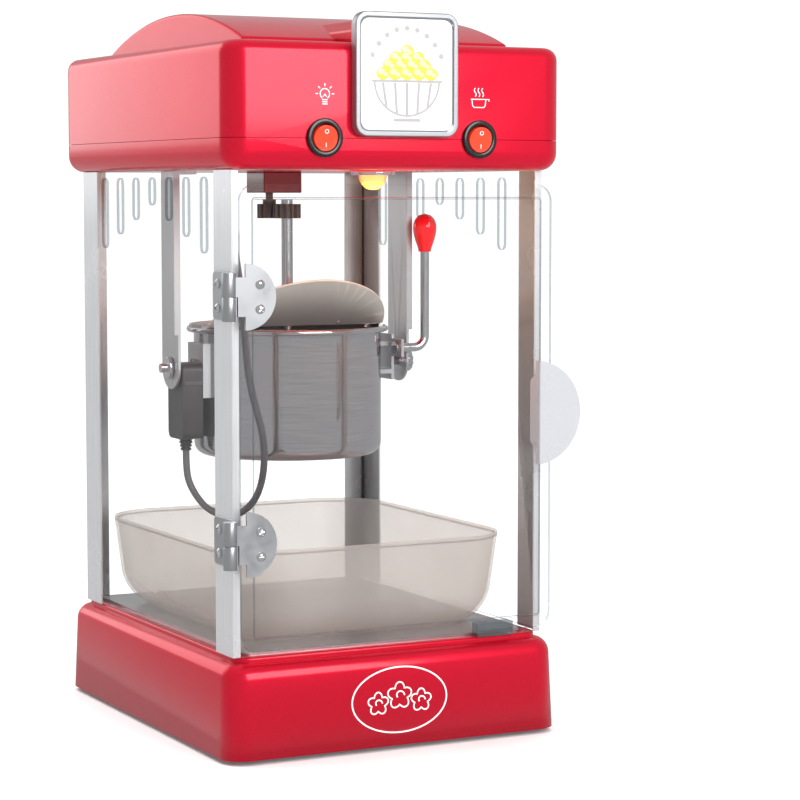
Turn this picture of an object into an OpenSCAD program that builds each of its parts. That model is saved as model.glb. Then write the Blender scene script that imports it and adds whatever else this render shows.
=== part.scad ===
// Tabletop popcorn maker: a red canopy and base, a clear cabin, a hinged door and a kettle that dumps forward.
// Millimetres. +X is the right-hand side, +Y the back and +Z up.
// The pieces are drawn round the middle of the canopy, up from the underside of the base. at_part() places them.

/* [Canopy] */
// Width of the canopy, side to side
canopy_w = 231; // [215:1:280]
// Depth of the canopy, front to back
canopy_d = 290; // [270:1:350]
// Height of the underside of the canopy above the underside of the base
cabin_top = 357; // [345:1:430]
// Height of the lower part of the canopy, from its underside to the seam
lower_h = 19; // [18:0.5:24]
// Height of the upper part of the canopy, from the seam to the flat roof
upper_h = 58; // [50:1:72]
// Wall thickness of the canopy and the base
wall = 2.5; // [2:0.1:3]
// Radius of the upright corners of the canopy and the base
corner_r = 15.5; // [14:0.5:24]
// Width of the vaulted roof
vault_w = 184; // [120:1:196]
// Depth of the vaulted roof
vault_d = 224; // [160:1:240]
// Rise of the vault above its own upright edge
vault_rise = 20; // [10:1:26]

/* [Sign and switches] */
// Width of the sign on the front of the canopy
sign_w = 70; // [50:1:76]
// Height of the sign
sign_h = 75; // [60:1:84]
// Distance of each switch from the middle of the canopy
switch_x = 53; // [50:0.5:85]
// Outside diameter of a switch bezel
bezel_d = 23.6; // [20:0.2:26]

/* [Base] */
// Height of the base's sides, up to the raised deck
base_side_h = 58.5; // [40:0.5:70]
// Height of the raised deck above the sides
deck_h = 3; // [2:0.5:5]
// How far each side of the base leans in towards the top
base_draft = 2; // [0:0.5:3]
// Height that the feet stand out below the base
foot_h = 3; // [2.5:0.5:8]
// Diameter of a foot
foot_d = 18; // [12:1:24]

/* [Cabin] */
// Width of the side of a corner post
post_w = 27; // [20:1:34]
// Thickness of the post sheet
post_t = 1.5; // [1:0.1:2]
// Thickness of the clear panels
panel_t = 2; // [1.5:0.1:2.5]
// Number of vent slots in each side panel
slot_count = 7; // [3:2:7]
// Distance from one vent slot to the next
slot_pitch = 28.7; // [20:0.1:29]
// Width of a vent slot
slot_w = 9; // [4:0.5:12]

/* [Door] */
// Thickness of the door
door_t = 3; // [2:0.1:3.4]
// Height of a hinge
hinge_h = 29; // [20:1:40]
// Radius of the hinge barrel
barrel_r = 4.2; // [3.6:0.1:4.8]
// Diameter of the hinge pin
hinge_pin_d = 4; // [3:0.1:5]
// Height of the half-moon handle
handle_h = 60; // [40:1:80]

/* [Kettle] */
// Outside diameter of the kettle
kettle_d = 126; // [106:1:130]
// Height of the kettle's side
kettle_h = 83; // [69:1:92]
// Depth of the kettle's axis below the canopy
hang_drop = 129; // [120:1:140]
// Diameter of the pins that the kettle turns on
trunnion_d = 6; // [4:0.2:8]
// Width of a hanger strap
strap_w = 28; // [20:1:34]
// How far the front flap stands open, in degrees
flap_open = 35; // [0:1:60]

/* [Stirrer] */
// Diameter of the stirring shaft
shaft_d = 7.6; // [6:0.1:9]
// Gear module, the pitch diameter for each tooth
gear_module = 1.2; // [1:0.05:1.4]
// Teeth of the gear on the kettle
kettle_teeth = 14; // [12:1:16]
// Teeth of the gear on the motor
motor_teeth = 12; // [10:1:14]
// Face width of both gears
gear_h = 9.6; // [6:0.2:12]

/* [Tray] */
// Height of the crumb tray
tray_h = 60; // [40:1:64]
// Radius of the tray's bottom edges
tray_bottom_r = 24; // [12:1:28]
// Thickness of the tray
tray_t = 2; // [1.5:0.1:3]

/* [Hidden] */
$fn = 48;

// Cabin: outer faces of the posts, and the levels of the deck and the floor sheet
side_x = canopy_w / 2 - 8;
front_y = -canopy_d / 2 + 15.5;
rear_y = canopy_d / 2 - 19;
deck_z = base_side_h + deck_h;
floor_t = 1.5;
floor_z = deck_z + floor_t;
roof_z = cabin_top + lower_h + upper_h;
seam_z = cabin_top + lower_h;
seam_gap = 0.3;
base_w = canopy_w + 1;
base_d = canopy_d - 6;
base_top_r = 10;
lower_edge_r = 11;
roof_edge_r = 8;
lip = 5;

// Vault and hood
vault_step = 3;
vault_top = roof_z + vault_step + vault_rise;
vault_r = (pow(vault_d / 2, 2) + pow(vault_rise, 2)) / (2 * vault_rise);
hood_w = sign_w - 14;
hood_drop = 8.5;
sign_t = 7;
sign_low_z = seam_z + 1;
sign_r = 8;
sign_border = 3.4;

// Switches
switch_z = seam_z;
bezel_t = 2.5;
switch_body_d = bezel_d - 3.6;
switch_body_l = 18;
rocker_d = bezel_d - 8;
rocker_gap = 0.5;
rocker_tilt = 8;
rocker_t = 3.4;
rocker_pivot_y = 1.2;
rocker_proud = 0.3;
rocker_pin_r = 0.9;
rocker_pin_l = rocker_d + 2.2;
face_y = -canopy_d / 2;

// Door and hinges. The barrel stands outside the corner of the front post.
door_y = front_y - 7.5;
hinge_x = -side_x - 5.1;
hinge_y = door_y - 0.5;
leaf_t = 1.5;
run_gap = 0.05;
door_left = -side_x + 2.5;
door_right = side_x + 3;
door_low = deck_z + 4;
door_top = cabin_top - 9;
upper_hinge_z = cabin_top - 76;
lower_hinge_z = deck_z + 70;
door_corner = 10;
rib_inset = 7.5;
rib_w = 1.5;
rib_h = 1.2;
leaf_r = 20;
handle_t = 5;
handle_x = side_x - 13.5;
handle_w = 30;
handle_z = (door_low + door_top) / 2 - 2;
stem_l = 9;
stop_w = 26;
screw_step = 7.4;
screw_hole_r = 1.6;
stem_h = handle_h * 0.76;

// Kettle
kettle_y = 25;
kettle_z = cabin_top - hang_drop;
kettle_r = kettle_d / 2;
kettle_low = kettle_z - kettle_h + 23;
rim_z = kettle_low + kettle_h;
casing_t = 0.8;
bowl_r = kettle_r - casing_t - 0.7;
bowl_t = 1.2;
bowl_low = kettle_low + 22;
rim_r = kettle_r + 3;
rim_edge_r = 1.8;
rim_top = rim_z + 1.4 + rim_edge_r;
hanger_x = kettle_r + 20;
hanger_t = 2;
flange_w = 4.5;
bracket_x = kettle_r + 9;
bracket_t = 2;
bracket_w = 26;
knob_r = 7.5;
knob_gap = 0.4;
plug_x = kettle_r + 4;
plug_t = hanger_x - 1.5 - plug_x;
pin_end = hanger_x + hanger_t + 7;
plug_w = 26;
plug_h = 50;
plug_top = kettle_z + 3;
relief_l = 8;

// Crossbar and flaps
bar_z = rim_top;
bar_t = 2;
bar_half = 8.5;
rod_r = 1.2;
rod_y = 12;
rod_z = bar_z + 3;
flap_t = 1.2;
flap_r = rim_r;
loop_r = 2.4;
loop_x = 15;
loop_w = 8;
lug_x = 30;
lug_t = 2;

// Dump rod: from the right bracket outwards, then a bend and up to the knob
rod_d = 6;
dump_y = kettle_y - strap_w / 2 - 6;
dump_z = kettle_z + 10;
dump_bend = 8;
dump_x = hanger_x + 11;
dump_top = kettle_z + 75;
dump_knob_r = 8;
dump_knob_h = 26;
dump_knob_bore = 8;
dump_knob_neck = 4.4;

// Stirrer and its gears. The motor's gear stands behind and a little to the left of the kettle's.
gear_z = cabin_top - 31;
kettle_gear_r = gear_module * kettle_teeth / 2;
motor_gear_r = gear_module * motor_teeth / 2;
gear_angle = 25;
shaft_low = bowl_low + bowl_t + 1;
gear_backlash = 0.3;
pinion_x = -(kettle_gear_r + motor_gear_r) * sin(gear_angle);
pinion_y = kettle_y + (kettle_gear_r + motor_gear_r) * cos(gear_angle);
gearbox_h = 14;
gearbox_w = 28;
gearbox_shift = 3.5;
gearbox_d = 30;
output_d = 5;
motor_d = 46;
motor_h = 36;

// Lamp
lamp_y = -canopy_d / 2 + 41;
bulb_r = 8.8;
bulb_z = cabin_top - 3.2;
lamp_ring_r = 14;
bulb_gap = 0.6;
lamp_ring_h = 3;
lamp_cup_top = cabin_top + 11;

// Lead gland in the rear wall
gland_x = side_x - 42;
gland_z = seam_z + 20;
gland_r = 8;
gland_bore_r = 3.5;
gland_out = 3;
gland_l = 14;

// Tray
tray_half_x = side_x - 7.5;
tray_front_y = front_y + 17;
tray_rear_y = rear_y - 7;
tray_corner = 40;
tray_slope = 6;
tray_lip = 1.5;
tray_lip_h = 3;

// Kettle lead: chosen points on its way from the canopy, round the front of the kettle, to the plug
lead_r = 2.3;
lead_rings_each = 8;
lead_out = hanger_x + hanger_t + 8;
lead_route = [
  [-lead_out, -96, cabin_top],
  [-lead_out, -95, cabin_top - 30],
  [-lead_out + 9, -90, cabin_top - 75],
  [-lead_out + 22, -72, kettle_z],
  [-lead_out + 40, -54, kettle_z - 45],
  [-lead_out + 45, -34, kettle_z - 78],
  [-lead_out + 39, -12, kettle_z - 95],
  [-plug_x + 2, kettle_y - 16, kettle_z - 93],
  [-plug_x - plug_t / 2 + 1, kettle_y - 3, kettle_z - 76],
  [-plug_x - plug_t / 2, kettle_y, plug_top - plug_h - relief_l - 0.6]
];

// Middle of the whole part, which is put on the Z axis
part_left = hinge_x - barrel_r;
part_right = handle_x + handle_w;
part_front = face_y - sign_t;
part_rear = canopy_d / 2 + gland_out;
middle_x = (part_left + part_right) / 2;
middle_y = (part_front + part_rear) / 2;

module at_part() translate([-middle_x, -middle_y, foot_h]) children();

// A cylinder along X, starting at the origin
module rod_x(r, l) rotate([0, 90, 0]) cylinder(r = r, h = l);

// A cylinder along Y, starting at the origin
module rod_y(r, l) rotate([-90, 0, 0]) cylinder(r = r, h = l);

// A flat shape in X and Z, made solid along Y from the origin towards the back
module plate_y(t) translate([0, t, 0]) rotate([90, 0, 0]) linear_extrude(t) children();

// A flat shape in Y and Z, made solid along X
module plate_x(t) rotate([90, 0, 90]) linear_extrude(t) children();

// A rectangle with round corners, from the origin
module round_rect(w, h, r) {
  translate([r, 0]) square([w - 2 * r, h]);
  translate([0, r]) square([w, h - 2 * r]);
  for (x = [r, w - r], y = [r, h - r])
    translate([x, y]) circle(r = r);
}

// A quarter of a disc
module quarter_disc(r) intersection() {
  circle(r = r);
  square(r);
}

// Half of a slab's cross-section: out to the side, with a leaning wall and round edges
module edge_profile(reach, h, top_r, low_r, lean) {
  polygon(concat(
    [[0, 0]],
    low_r > 0 ? [[reach - low_r, 0], [reach, low_r]] : [[reach, 0]],
    top_r > 0 ? [[reach - lean, h - top_r], [reach - lean - top_r, h]] : [[reach - lean, h]],
    [[0, h]]
  ));
  if (top_r > 0) translate([reach - lean - top_r, h - top_r]) quarter_disc(top_r);
  if (low_r > 0) translate([reach - low_r, low_r]) mirror([0, 1]) quarter_disc(low_r);
}

// A slab with round upright corners, whose edge all round has the cross-section given as a child
module slab(w, d, h, corner) {
  half_w = w / 2 - corner;
  half_d = d / 2 - corner;
  translate([-half_w, -half_d, 0]) cube([2 * half_w, 2 * half_d, h]);
  for (mx = [0, 1]) mirror([mx, 0, 0]) {
    translate([half_w, half_d, 0]) rotate([90, 0, 0]) linear_extrude(2 * half_d) children();
    for (my = [0, 1]) mirror([0, my, 0])
      translate([half_w, half_d, 0]) rotate_extrude(angle = 90) children();
  }
  for (my = [0, 1]) mirror([0, my, 0])
    translate([-half_w, half_d, 0]) rotate([90, 0, 90]) linear_extrude(2 * half_w) children();
}

// The places of the four feet
module at_feet() for (x = [-1, 1], y = [-1, 1])
  translate([x * (base_w / 2 - 22), y * (base_d / 2 - 22), 0]) children();

// ---- Base ----

module base_shell() color("firebrick") at_part() difference() {
  union() {
    slab(base_w, base_d, base_side_h, corner_r)
      edge_profile(corner_r, base_side_h, base_top_r, 0, base_draft);
    translate([0, 0, base_side_h - 1])
      slab(base_w - 20, base_d - 20, deck_h + 1, corner_r - 4)
        edge_profile(corner_r - 4, deck_h + 1, deck_h / 2, 0, 0);
  }
  translate([0, 0, -1])
    slab(base_w - 2 * wall - 2, base_d - 2 * wall - 2, base_side_h - wall + 1, corner_r - wall)
      edge_profile(corner_r - wall, base_side_h - wall + 1, base_top_r - wall, 0, base_draft);
}

module bottom_cover() color("dimgray") at_part() difference() {
  translate([0, 0, 1])
    slab(base_w - 2 * wall - 2.6, base_d - 2 * wall - 2.6, 1.5, corner_r - wall - 0.3)
      edge_profile(corner_r - wall - 0.3, 1.5, 0, 0, 0);
  at_feet() cylinder(d = 3.1, h = 4);
}

module feet() color("black") at_part() at_feet() translate([0, 0, -foot_h]) difference() {
  union() {
    cylinder(d = foot_d, h = foot_h);
    cylinder(d = foot_d - 3, h = foot_h + 1);
  }
  translate([0, 0, -1]) cylinder(d = 8, h = foot_h);
  cylinder(d = 3.1, h = foot_h + 2);
}

module foot_screws() color("silver") at_part() at_feet() {
  translate([0, 0, -2]) cylinder(d = 6.4, h = 1);
  translate([0, 0, -1]) cylinder(d = 3, h = 7);
}

module floor_sheet() color("silver") at_part() translate([0, 0, deck_z])
  slab(base_w - 34, base_d - 36, floor_t, 6) edge_profile(6, floor_t, 0, 0, 0);

// ---- Cabin ----

// A front post: an angle with a short front lip, which covers the edge of the side panel
module front_post() translate([-side_x, front_y, deck_z]) {
  h = cabin_top - deck_z;
  cube([post_t, post_w, h]);
  cube([lip, post_t, h]);
}

// A rear post: an angle
module rear_post() translate([-side_x, rear_y - post_w, deck_z]) {
  h = cabin_top - deck_z;
  cube([post_t, post_w, h]);
  translate([0, post_w - post_t, 0]) cube([16, post_t, h]);
}

module post_front_left() color("gainsboro") at_part() front_post();
module post_front_right() color("gainsboro") at_part() mirror([1, 0, 0]) front_post();
module post_rear_left() color("gainsboro") at_part() rear_post();
module post_rear_right() color("gainsboro") at_part() mirror([1, 0, 0]) rear_post();

// A clear side panel. Its slots get longer towards both ends.
module side_panel() {
  low = floor_z;
  high = cabin_top - 0.2;
  near = front_y + post_t + 1;
  far = rear_y - post_t - panel_t - 0.4;
  slot_top = cabin_top - 4;
  middle = (slot_count - 1) / 2;
  translate([-side_x + post_t, 0, 0]) plate_x(panel_t) difference() {
    translate([near, low]) square([far - near, high - low]);
    for (i = [0 : slot_count - 1]) {
      slot_h = 18 + 9.7 * abs(i - middle);
      translate([4 + (i - middle) * slot_pitch - slot_w / 2, slot_top - slot_h])
        round_rect(slot_w, slot_h, slot_w / 2 - 0.1);
    }
  }
}

module panel_left() color("white", 0.3) at_part() side_panel();
module panel_right() color("white", 0.3) at_part() mirror([1, 0, 0]) side_panel();

module panel_rear() color("white", 0.3) at_part()
  translate([-side_x + post_t + 0.4, rear_y - post_t - panel_t, floor_z])
    cube([2 * (side_x - post_t - 0.4), panel_t, cabin_top - 0.2 - floor_z]);

// ---- Canopy ----

// The holes for the switches, through the front wall
module switch_holes() for (x = [-switch_x, switch_x])
  translate([x, face_y - 1, switch_z]) rod_y(switch_body_d / 2 + 0.2, 8);

module canopy_lower() color("firebrick") at_part() difference() {
  translate([0, 0, cabin_top])
    slab(canopy_w, canopy_d, lower_h - seam_gap, corner_r)
      edge_profile(corner_r, lower_h - seam_gap, 0, lower_edge_r, 0);
  translate([0, 0, cabin_top + wall])
    slab(canopy_w - 2 * wall, canopy_d - 2 * wall, lower_h, corner_r - wall)
      edge_profile(corner_r - wall, lower_h, 0, lower_edge_r - wall, 0);
  switch_holes();
  translate([0, lamp_y, cabin_top - 1]) cylinder(r = lamp_ring_r - 2.9, h = 5);
  translate([pinion_x, pinion_y, cabin_top - 1]) cylinder(d = 12, h = 5);
  translate([lead_route[0][0], lead_route[0][1], cabin_top - 1]) cylinder(r = 4, h = 5);
}

module canopy_upper() color("firebrick") at_part() difference() {
  upper_slab();
  translate([0, 0, seam_z - 1])
    slab(canopy_w - 2 * wall, canopy_d - 2 * wall, upper_h - wall + 1, corner_r - wall)
      edge_profile(corner_r - wall, upper_h - wall + 1, roof_edge_r - wall, 0, 0);
  switch_holes();
  translate([gland_x, canopy_d / 2 - 10, gland_z]) rod_y(gland_r - 2 + run_gap, 20);
}

module upper_slab() translate([0, 0, seam_z])
  slab(canopy_w, canopy_d, upper_h, corner_r)
    edge_profile(corner_r, upper_h, roof_edge_r, 0, 0);

// A block on the roof, under an arch that runs from front to back
module vault(w, d, top, r) intersection() {
  translate([-w / 2, 0, 0]) plate_x(w) translate([0, top - r]) circle(r = r, $fn = 180);
  translate([-w / 2, -d / 2, roof_z]) cube([w, d, 2 * vault_rise + vault_step]);
}

module canopy_vault() color("firebrick") at_part() difference() {
  vault(vault_w, vault_d, vault_top, vault_r);
  vault(vault_w - 2 * wall, vault_d - 2 * wall, vault_top - wall, vault_r - wall);
}

// The block behind the sign, which runs back into the vault
module canopy_hood() color("firebrick") at_part() difference() {
  translate([-hood_w / 2, 0, 0]) plate_x(hood_w) polygon([
    [face_y, roof_z - roof_edge_r - 1],
    [face_y, vault_top - hood_drop],
    [-vault_d / 4 + 1, vault_top - hood_drop],
    [-vault_d / 4 + 1, roof_z - roof_edge_r - 1]
  ]);
  upper_slab();
  vault(vault_w, vault_d, vault_top, vault_r);
}

// ---- Sign ----

module sign_outline(inset) translate([-sign_w / 2 + inset, sign_low_z + inset])
  round_rect(sign_w - 2 * inset, sign_h - 2 * inset, sign_r - inset / 2);

module sign_frame() color("silver") at_part() translate([0, face_y - sign_t, 0]) difference() {
  plate_y(sign_t) sign_outline(0);
  translate([0, -1, 0]) plate_y(sign_t - 2 + 1) sign_outline(sign_border);
}

module sign_plate() color("white") at_part() translate([0, face_y - sign_t + 1.2, 0])
  plate_y(sign_t - 2 - 1.2) sign_outline(sign_border);

// ---- Switches ----

module switch_body(x) color("black") at_part() translate([x, face_y, switch_z]) difference() {
  union() {
    translate([0, -bezel_t, 0]) rod_y(bezel_d / 2, bezel_t);
    rod_y(switch_body_d / 2, switch_body_l);
  }
  translate([0, -bezel_t - 1, 0]) rod_y(rocker_d / 2 + rocker_gap, bezel_t + 7);
  translate([-rocker_pin_l / 2 - 0.2, -rocker_pivot_y, 0]) rod_x(rocker_pin_r + run_gap, rocker_pin_l + 0.4);
}

// A round rocker: a disc whose face is a shallow V, tilted about the pins at its two sides
module rocker(x) color("orangered") at_part()
  translate([x, face_y - rocker_pivot_y, switch_z]) rotate([rocker_tilt, 0, 0]) {
    crest = bezel_t - rocker_pivot_y + rocker_proud;
    intersection() {
      translate([0, -2 * rocker_t, 0]) rod_y(rocker_d / 2, 4 * rocker_t);
      translate([-rocker_d / 2, 0, 0]) plate_x(rocker_d) polygon([
        [rocker_t / 2, -rocker_d],
        [rocker_t / 2, rocker_d],
        [-crest - rocker_d * tan(rocker_tilt), rocker_d],
        [-crest, 0],
        [-crest - rocker_d * tan(rocker_tilt), -rocker_d]
      ]);
    }
    translate([-rocker_pin_l / 2, 0, 0]) rod_x(rocker_pin_r, rocker_pin_l);
  }

module switch_lamp() switch_body(-switch_x);
module switch_kettle() switch_body(switch_x);
module rocker_lamp() rocker(-switch_x);
module rocker_kettle() rocker(switch_x);

// ---- Lamp, motor and gland ----

module lamp_holder() color("silver") at_part() translate([0, lamp_y, cabin_top]) difference() {
  union() {
    translate([0, 0, -lamp_ring_h]) cylinder(r = lamp_ring_r, h = lamp_ring_h);
    cylinder(r = lamp_ring_r - 3, h = wall + 14);
  }
  translate([0, 0, -lamp_ring_h - 1])
    cylinder(r = bulb_r + bulb_gap, h = lamp_cup_top - cabin_top + lamp_ring_h + 1);
}

module lamp_bulb() color("khaki") at_part() translate([0, lamp_y, bulb_z]) {
  sphere(r = bulb_r);
  cylinder(r = 5, h = lamp_cup_top - bulb_z);
}

module gearbox() color("maroon") at_part()
  translate([pinion_x, pinion_y, cabin_top - gearbox_h]) difference() {
  translate([gearbox_shift - gearbox_w / 2, -gearbox_d / 2, 0]) cube([gearbox_w, gearbox_d, gearbox_h]);
  translate([0, 0, -1]) cylinder(d = output_d + 2 * run_gap, h = gearbox_h + 2);
}

module motor() color("dimgray") at_part() translate([pinion_x, pinion_y, cabin_top + wall]) difference() {
  cylinder(d = motor_d, h = motor_h);
  translate([0, 0, -1]) cylinder(d = output_d + 2 * run_gap, h = 8);
}

module lead_gland() color("black") at_part()
  translate([gland_x, canopy_d / 2 + gland_out, gland_z]) difference() {
  union() {
    translate([0, -gland_out, 0]) rod_y(gland_r, gland_out);
    translate([0, -gland_l, 0]) rod_y(gland_r - 2, gland_l);
    translate([0, -gland_l, 0]) rod_y(gland_r, gland_l - gland_out - wall - 0.2);
  }
  translate([0, -gland_l - 1, 0]) rod_y(gland_bore_r, gland_l + 2);
}

// ---- Door ----

module door_outline(inset) translate([door_left + inset, door_low + inset])
  round_rect(door_right - door_left - 2 * inset, door_top - door_low - 2 * inset, door_corner - inset / 2);

// The sheet has a thin raised rib inside its edge. The rib stops at the hinges and at the handle.
module door_panel() color("white", 0.3) at_part() translate([0, door_y, 0]) {
  plate_y(door_t) door_outline(0);
  translate([0, -rib_h, 0]) plate_y(rib_h) difference() {
    door_outline(rib_inset);
    door_outline(rib_inset + rib_w);
    for (z = [upper_hinge_z, lower_hinge_z])
      translate([door_left, z - leaf_r]) square([leaf_r * 2, leaf_r * 2]);
    translate([handle_x, handle_z - stem_h / 2]) square([handle_w, stem_h]);
  }
}

// Half-moon grip plate on a stem that stands on the door
module door_handle() color("white") at_part() translate([handle_x, door_y - stem_l, handle_z]) {
  translate([0, -handle_t, 0]) plate_y(handle_t) intersection() {
    translate([handle_w - handle_h * 0.55, 0]) circle(r = handle_h * 0.55, $fn = 96);
    translate([0, -handle_h / 2]) round_rect(handle_h, handle_h, 6);
  }
  plate_y(stem_l) translate([1, -stem_h / 2]) round_rect(15, stem_h, 5);
}

module door_stop() color("white", 0.5) at_part()
  translate([side_x - 48, front_y - 4, deck_z]) cube([stop_w, 8, 9]);

// The post's leaf of a hinge, with the lower knuckle
module hinge_post_leaf(z) color("silver") at_part() translate([0, 0, z - hinge_h / 2]) difference() {
  union() {
    translate([-side_x - leaf_t, hinge_y + 5, 0]) plate_x(leaf_t) round_rect(28, hinge_h, 3);
    translate([-side_x - leaf_t, hinge_y, 0]) cube([leaf_t, 12, hinge_h / 2 - 0.2]);
    translate([hinge_x, hinge_y, 0]) cylinder(r = barrel_r, h = hinge_h / 2 - 0.2);
  }
  translate([hinge_x, hinge_y, 1]) cylinder(d = hinge_pin_d, h = hinge_h);
  for (s = [-1, 1]) translate([-side_x - leaf_t - 1, hinge_y + 25, hinge_h / 2 + s * screw_step])
    rod_x(screw_hole_r, leaf_t + 2);
}

// The door's leaf of a hinge, with the upper knuckle and a half-round blade
module hinge_door_leaf(z) color("silver") at_part() translate([0, 0, z]) difference() {
  union() {
    translate([0, door_y - leaf_t, 0]) plate_y(leaf_t) {
      translate([hinge_x, -11.8]) square([12.5, 23.6]);
      intersection() {
        translate([hinge_x + 10.5, -leaf_r]) square([leaf_r, 2 * leaf_r]);
        translate([hinge_x + 10.5, 0]) circle(r = leaf_r);
      }
    }
    translate([hinge_x, hinge_y, 0.2]) cylinder(r = barrel_r, h = hinge_h / 2 - 0.2);
  }
  translate([hinge_x, hinge_y, -hinge_h]) cylinder(d = hinge_pin_d + 2 * run_gap, h = hinge_h * 1.5 - 1.5);
  // The neck is cut away beside the lower knuckle, so that it turns clear of it
  translate([hinge_x - 6, hinge_y - 8, -hinge_h]) cube([11.6, 16, hinge_h]);
  for (s = [-1, 1]) translate([hinge_x + 20, door_y - leaf_t - 1, s * screw_step]) rod_y(screw_hole_r, leaf_t + 2);
}

module hinge_post_upper() hinge_post_leaf(upper_hinge_z);
module hinge_post_lower() hinge_post_leaf(lower_hinge_z);
module hinge_door_upper() hinge_door_leaf(upper_hinge_z);
module hinge_door_lower() hinge_door_leaf(lower_hinge_z);

module hinge_pins() color("silver") at_part() for (z = [upper_hinge_z, lower_hinge_z])
  translate([hinge_x, hinge_y, z - hinge_h / 2 + 1]) cylinder(d = hinge_pin_d, h = hinge_h - 3);

// A pan-head screw along +Y, with its head in front of the origin
module pan_screw(l) {
  rod_y(1.5, l);
  translate([0, -1.8, 0]) rod_y(2.8, 1.8);
}

module hinge_screws_post() color("silver") at_part() for (z = [upper_hinge_z, lower_hinge_z], s = [-1, 1])
  translate([-side_x - leaf_t, hinge_y + 25, z + s * screw_step]) rotate([0, 0, -90]) pan_screw(leaf_t - 0.05);

module hinge_screws_door() color("silver") at_part() for (z = [upper_hinge_z, lower_hinge_z], s = [-1, 1])
  translate([hinge_x + 20, door_y - leaf_t, z + s * screw_step]) pan_screw(leaf_t - 0.05);

// ---- Hangers ----

module hanger() {
  translate([hanger_x, 0, 0]) plate_x(hanger_t) difference() {
    union() {
      translate([kettle_y - strap_w / 2, kettle_z]) square([strap_w, cabin_top - kettle_z]);
      translate([kettle_y, kettle_z]) circle(d = strap_w);
    }
    translate([kettle_y, kettle_z]) circle(d = trunnion_d + 2 * run_gap);
  }
  translate([hanger_x - 12, kettle_y - strap_w / 2, cabin_top - hanger_t]) cube([13, strap_w, hanger_t]);
  // A stiffening flange down the front edge
  translate([hanger_x, kettle_y - strap_w / 2, kettle_z + 22]) cube([flange_w, hanger_t, hang_drop - 22]);
}

module hanger_right() color("lightgray") at_part() hanger();
module hanger_left() color("lightgray") at_part() mirror([1, 0, 0]) hanger();

// ---- Kettle ----

module on_kettle() translate([0, kettle_y, 0]) children();

module kettle_casing() color("silver") at_part() on_kettle()
  translate([0, 0, kettle_low]) rotate_extrude() difference() {
  edge_profile(kettle_r, kettle_h, 0, 8, 0);
  translate([0, casing_t]) edge_profile(kettle_r - casing_t, kettle_h, 0, 8 - casing_t, 0);
}

module kettle_bowl() color("silver") at_part() on_kettle() rotate_extrude() {
  difference() {
    translate([0, bowl_low]) edge_profile(bowl_r, rim_z + 1.4 - bowl_low, 0, 12, 0);
    translate([0, bowl_low + bowl_t]) edge_profile(bowl_r - bowl_t, kettle_h, 0, 12 - bowl_t, 0);
  }
  translate([bowl_r - bowl_t, rim_z]) square([rim_r - bowl_r + bowl_t, 1.4]);
  translate([rim_r, rim_z + 1.4]) circle(r = rim_edge_r);
}

module kettle_heater() color("dimgray") at_part() on_kettle() translate([0, 0, bowl_low - 7]) difference() {
  cylinder(r = kettle_r * 0.75, h = 7);
  translate([0, 0, -1]) cylinder(r = kettle_r * 0.4, h = 9);
}

// A strap over the middle of the kettle, with a bush for the shaft and a thin rod along each side for a flap
module kettle_crossbar() color("silver") at_part() on_kettle() difference() {
  union() {
    translate([-rim_r, -bar_half, bar_z]) cube([2 * rim_r, 2 * bar_half, bar_t]);
    translate([0, 0, bar_z]) cylinder(r = 7, h = 9);
    for (x = [-lug_x - lug_t, lug_x]) translate([x, 0, 0]) plate_x(lug_t) {
      translate([-rod_y - rod_r - 1, rod_z - 1.2]) square([2 * (rod_y + rod_r + 1), 2.6]);
      translate([-bar_half, bar_z]) square([2 * bar_half, 2]);
    }
    for (s = [-1, 1]) translate([-lug_x, s * rod_y, rod_z]) rod_x(rod_r, 2 * lug_x);
  }
  translate([0, 0, bar_z - 1]) cylinder(d = shaft_d + 2 * run_gap, h = 20);
}

// A half-round flap that lies on the rim in front of the crossbar, with two loops round its rod
module flap() difference() {
  union() {
    intersection() {
      cylinder(r = flap_r, h = rim_top + 0.1 + flap_t);
      translate([-flap_r, -flap_r - 1, rim_top + 0.1]) cube([2 * flap_r, flap_r + 1 - rod_y, flap_t]);
    }
    for (x = [-loop_x - loop_w, loop_x]) translate([x, -rod_y, rod_z]) rod_x(loop_r, loop_w);
  }
  translate([-lug_x, -rod_y, rod_z]) rod_x(rod_r + run_gap, 2 * lug_x);
  for (x = [-lug_x - lug_t - 0.5, lug_x - 0.5])
    translate([x, -rod_y - 4, rim_top]) cube([lug_t + 1, 5, flap_t + 1]);
}

module front_flap() color("silver") at_part() on_kettle()
  translate([0, -rod_y, rod_z]) rotate([-flap_open, 0, 0]) translate([0, rod_y, -rod_z]) flap();

module rear_flap() color("silver") at_part() on_kettle() mirror([0, 1, 0]) flap();

// The bracket on the right of the casing: a plate for the pin, held by two webs
module bracket() {
  difference() {
    translate([0, kettle_y - bracket_w / 2, 0]) {
      translate([bracket_x, 0, kettle_z - 12]) cube([bracket_t, bracket_w, 31]);
      for (z = [kettle_z - 8, kettle_z + 11])
        translate([kettle_r - 6, 0, z]) cube([bracket_x - kettle_r + 6, bracket_w, 3]);
    }
    on_kettle() cylinder(r = kettle_r, h = cabin_top);
  }
}

// The socket plate on the left of the casing, which the plug meets
module bracket_left() color("silver") at_part() mirror([1, 0, 0]) difference() {
  translate([kettle_r - 6, kettle_y - bracket_w / 2, kettle_z - 20]) cube([plug_x - kettle_r + 6, bracket_w, 36]);
  on_kettle() cylinder(r = kettle_r, h = cabin_top);
}

module bracket_right() color("silver") at_part() difference() {
  union() {
    bracket();
    translate([bracket_x, dump_y - 8, dump_z - 6]) cube([bracket_t, kettle_y - dump_y, 12]);
  }
  translate([bracket_x - 1, dump_y, dump_z]) rod_x(rod_d / 2 + run_gap, 4);
}

module trunnion(x) translate([x, kettle_y, kettle_z]) {
  rod_x(trunnion_d / 2, pin_end - x);
  rod_x(trunnion_d, 2);
}

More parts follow.
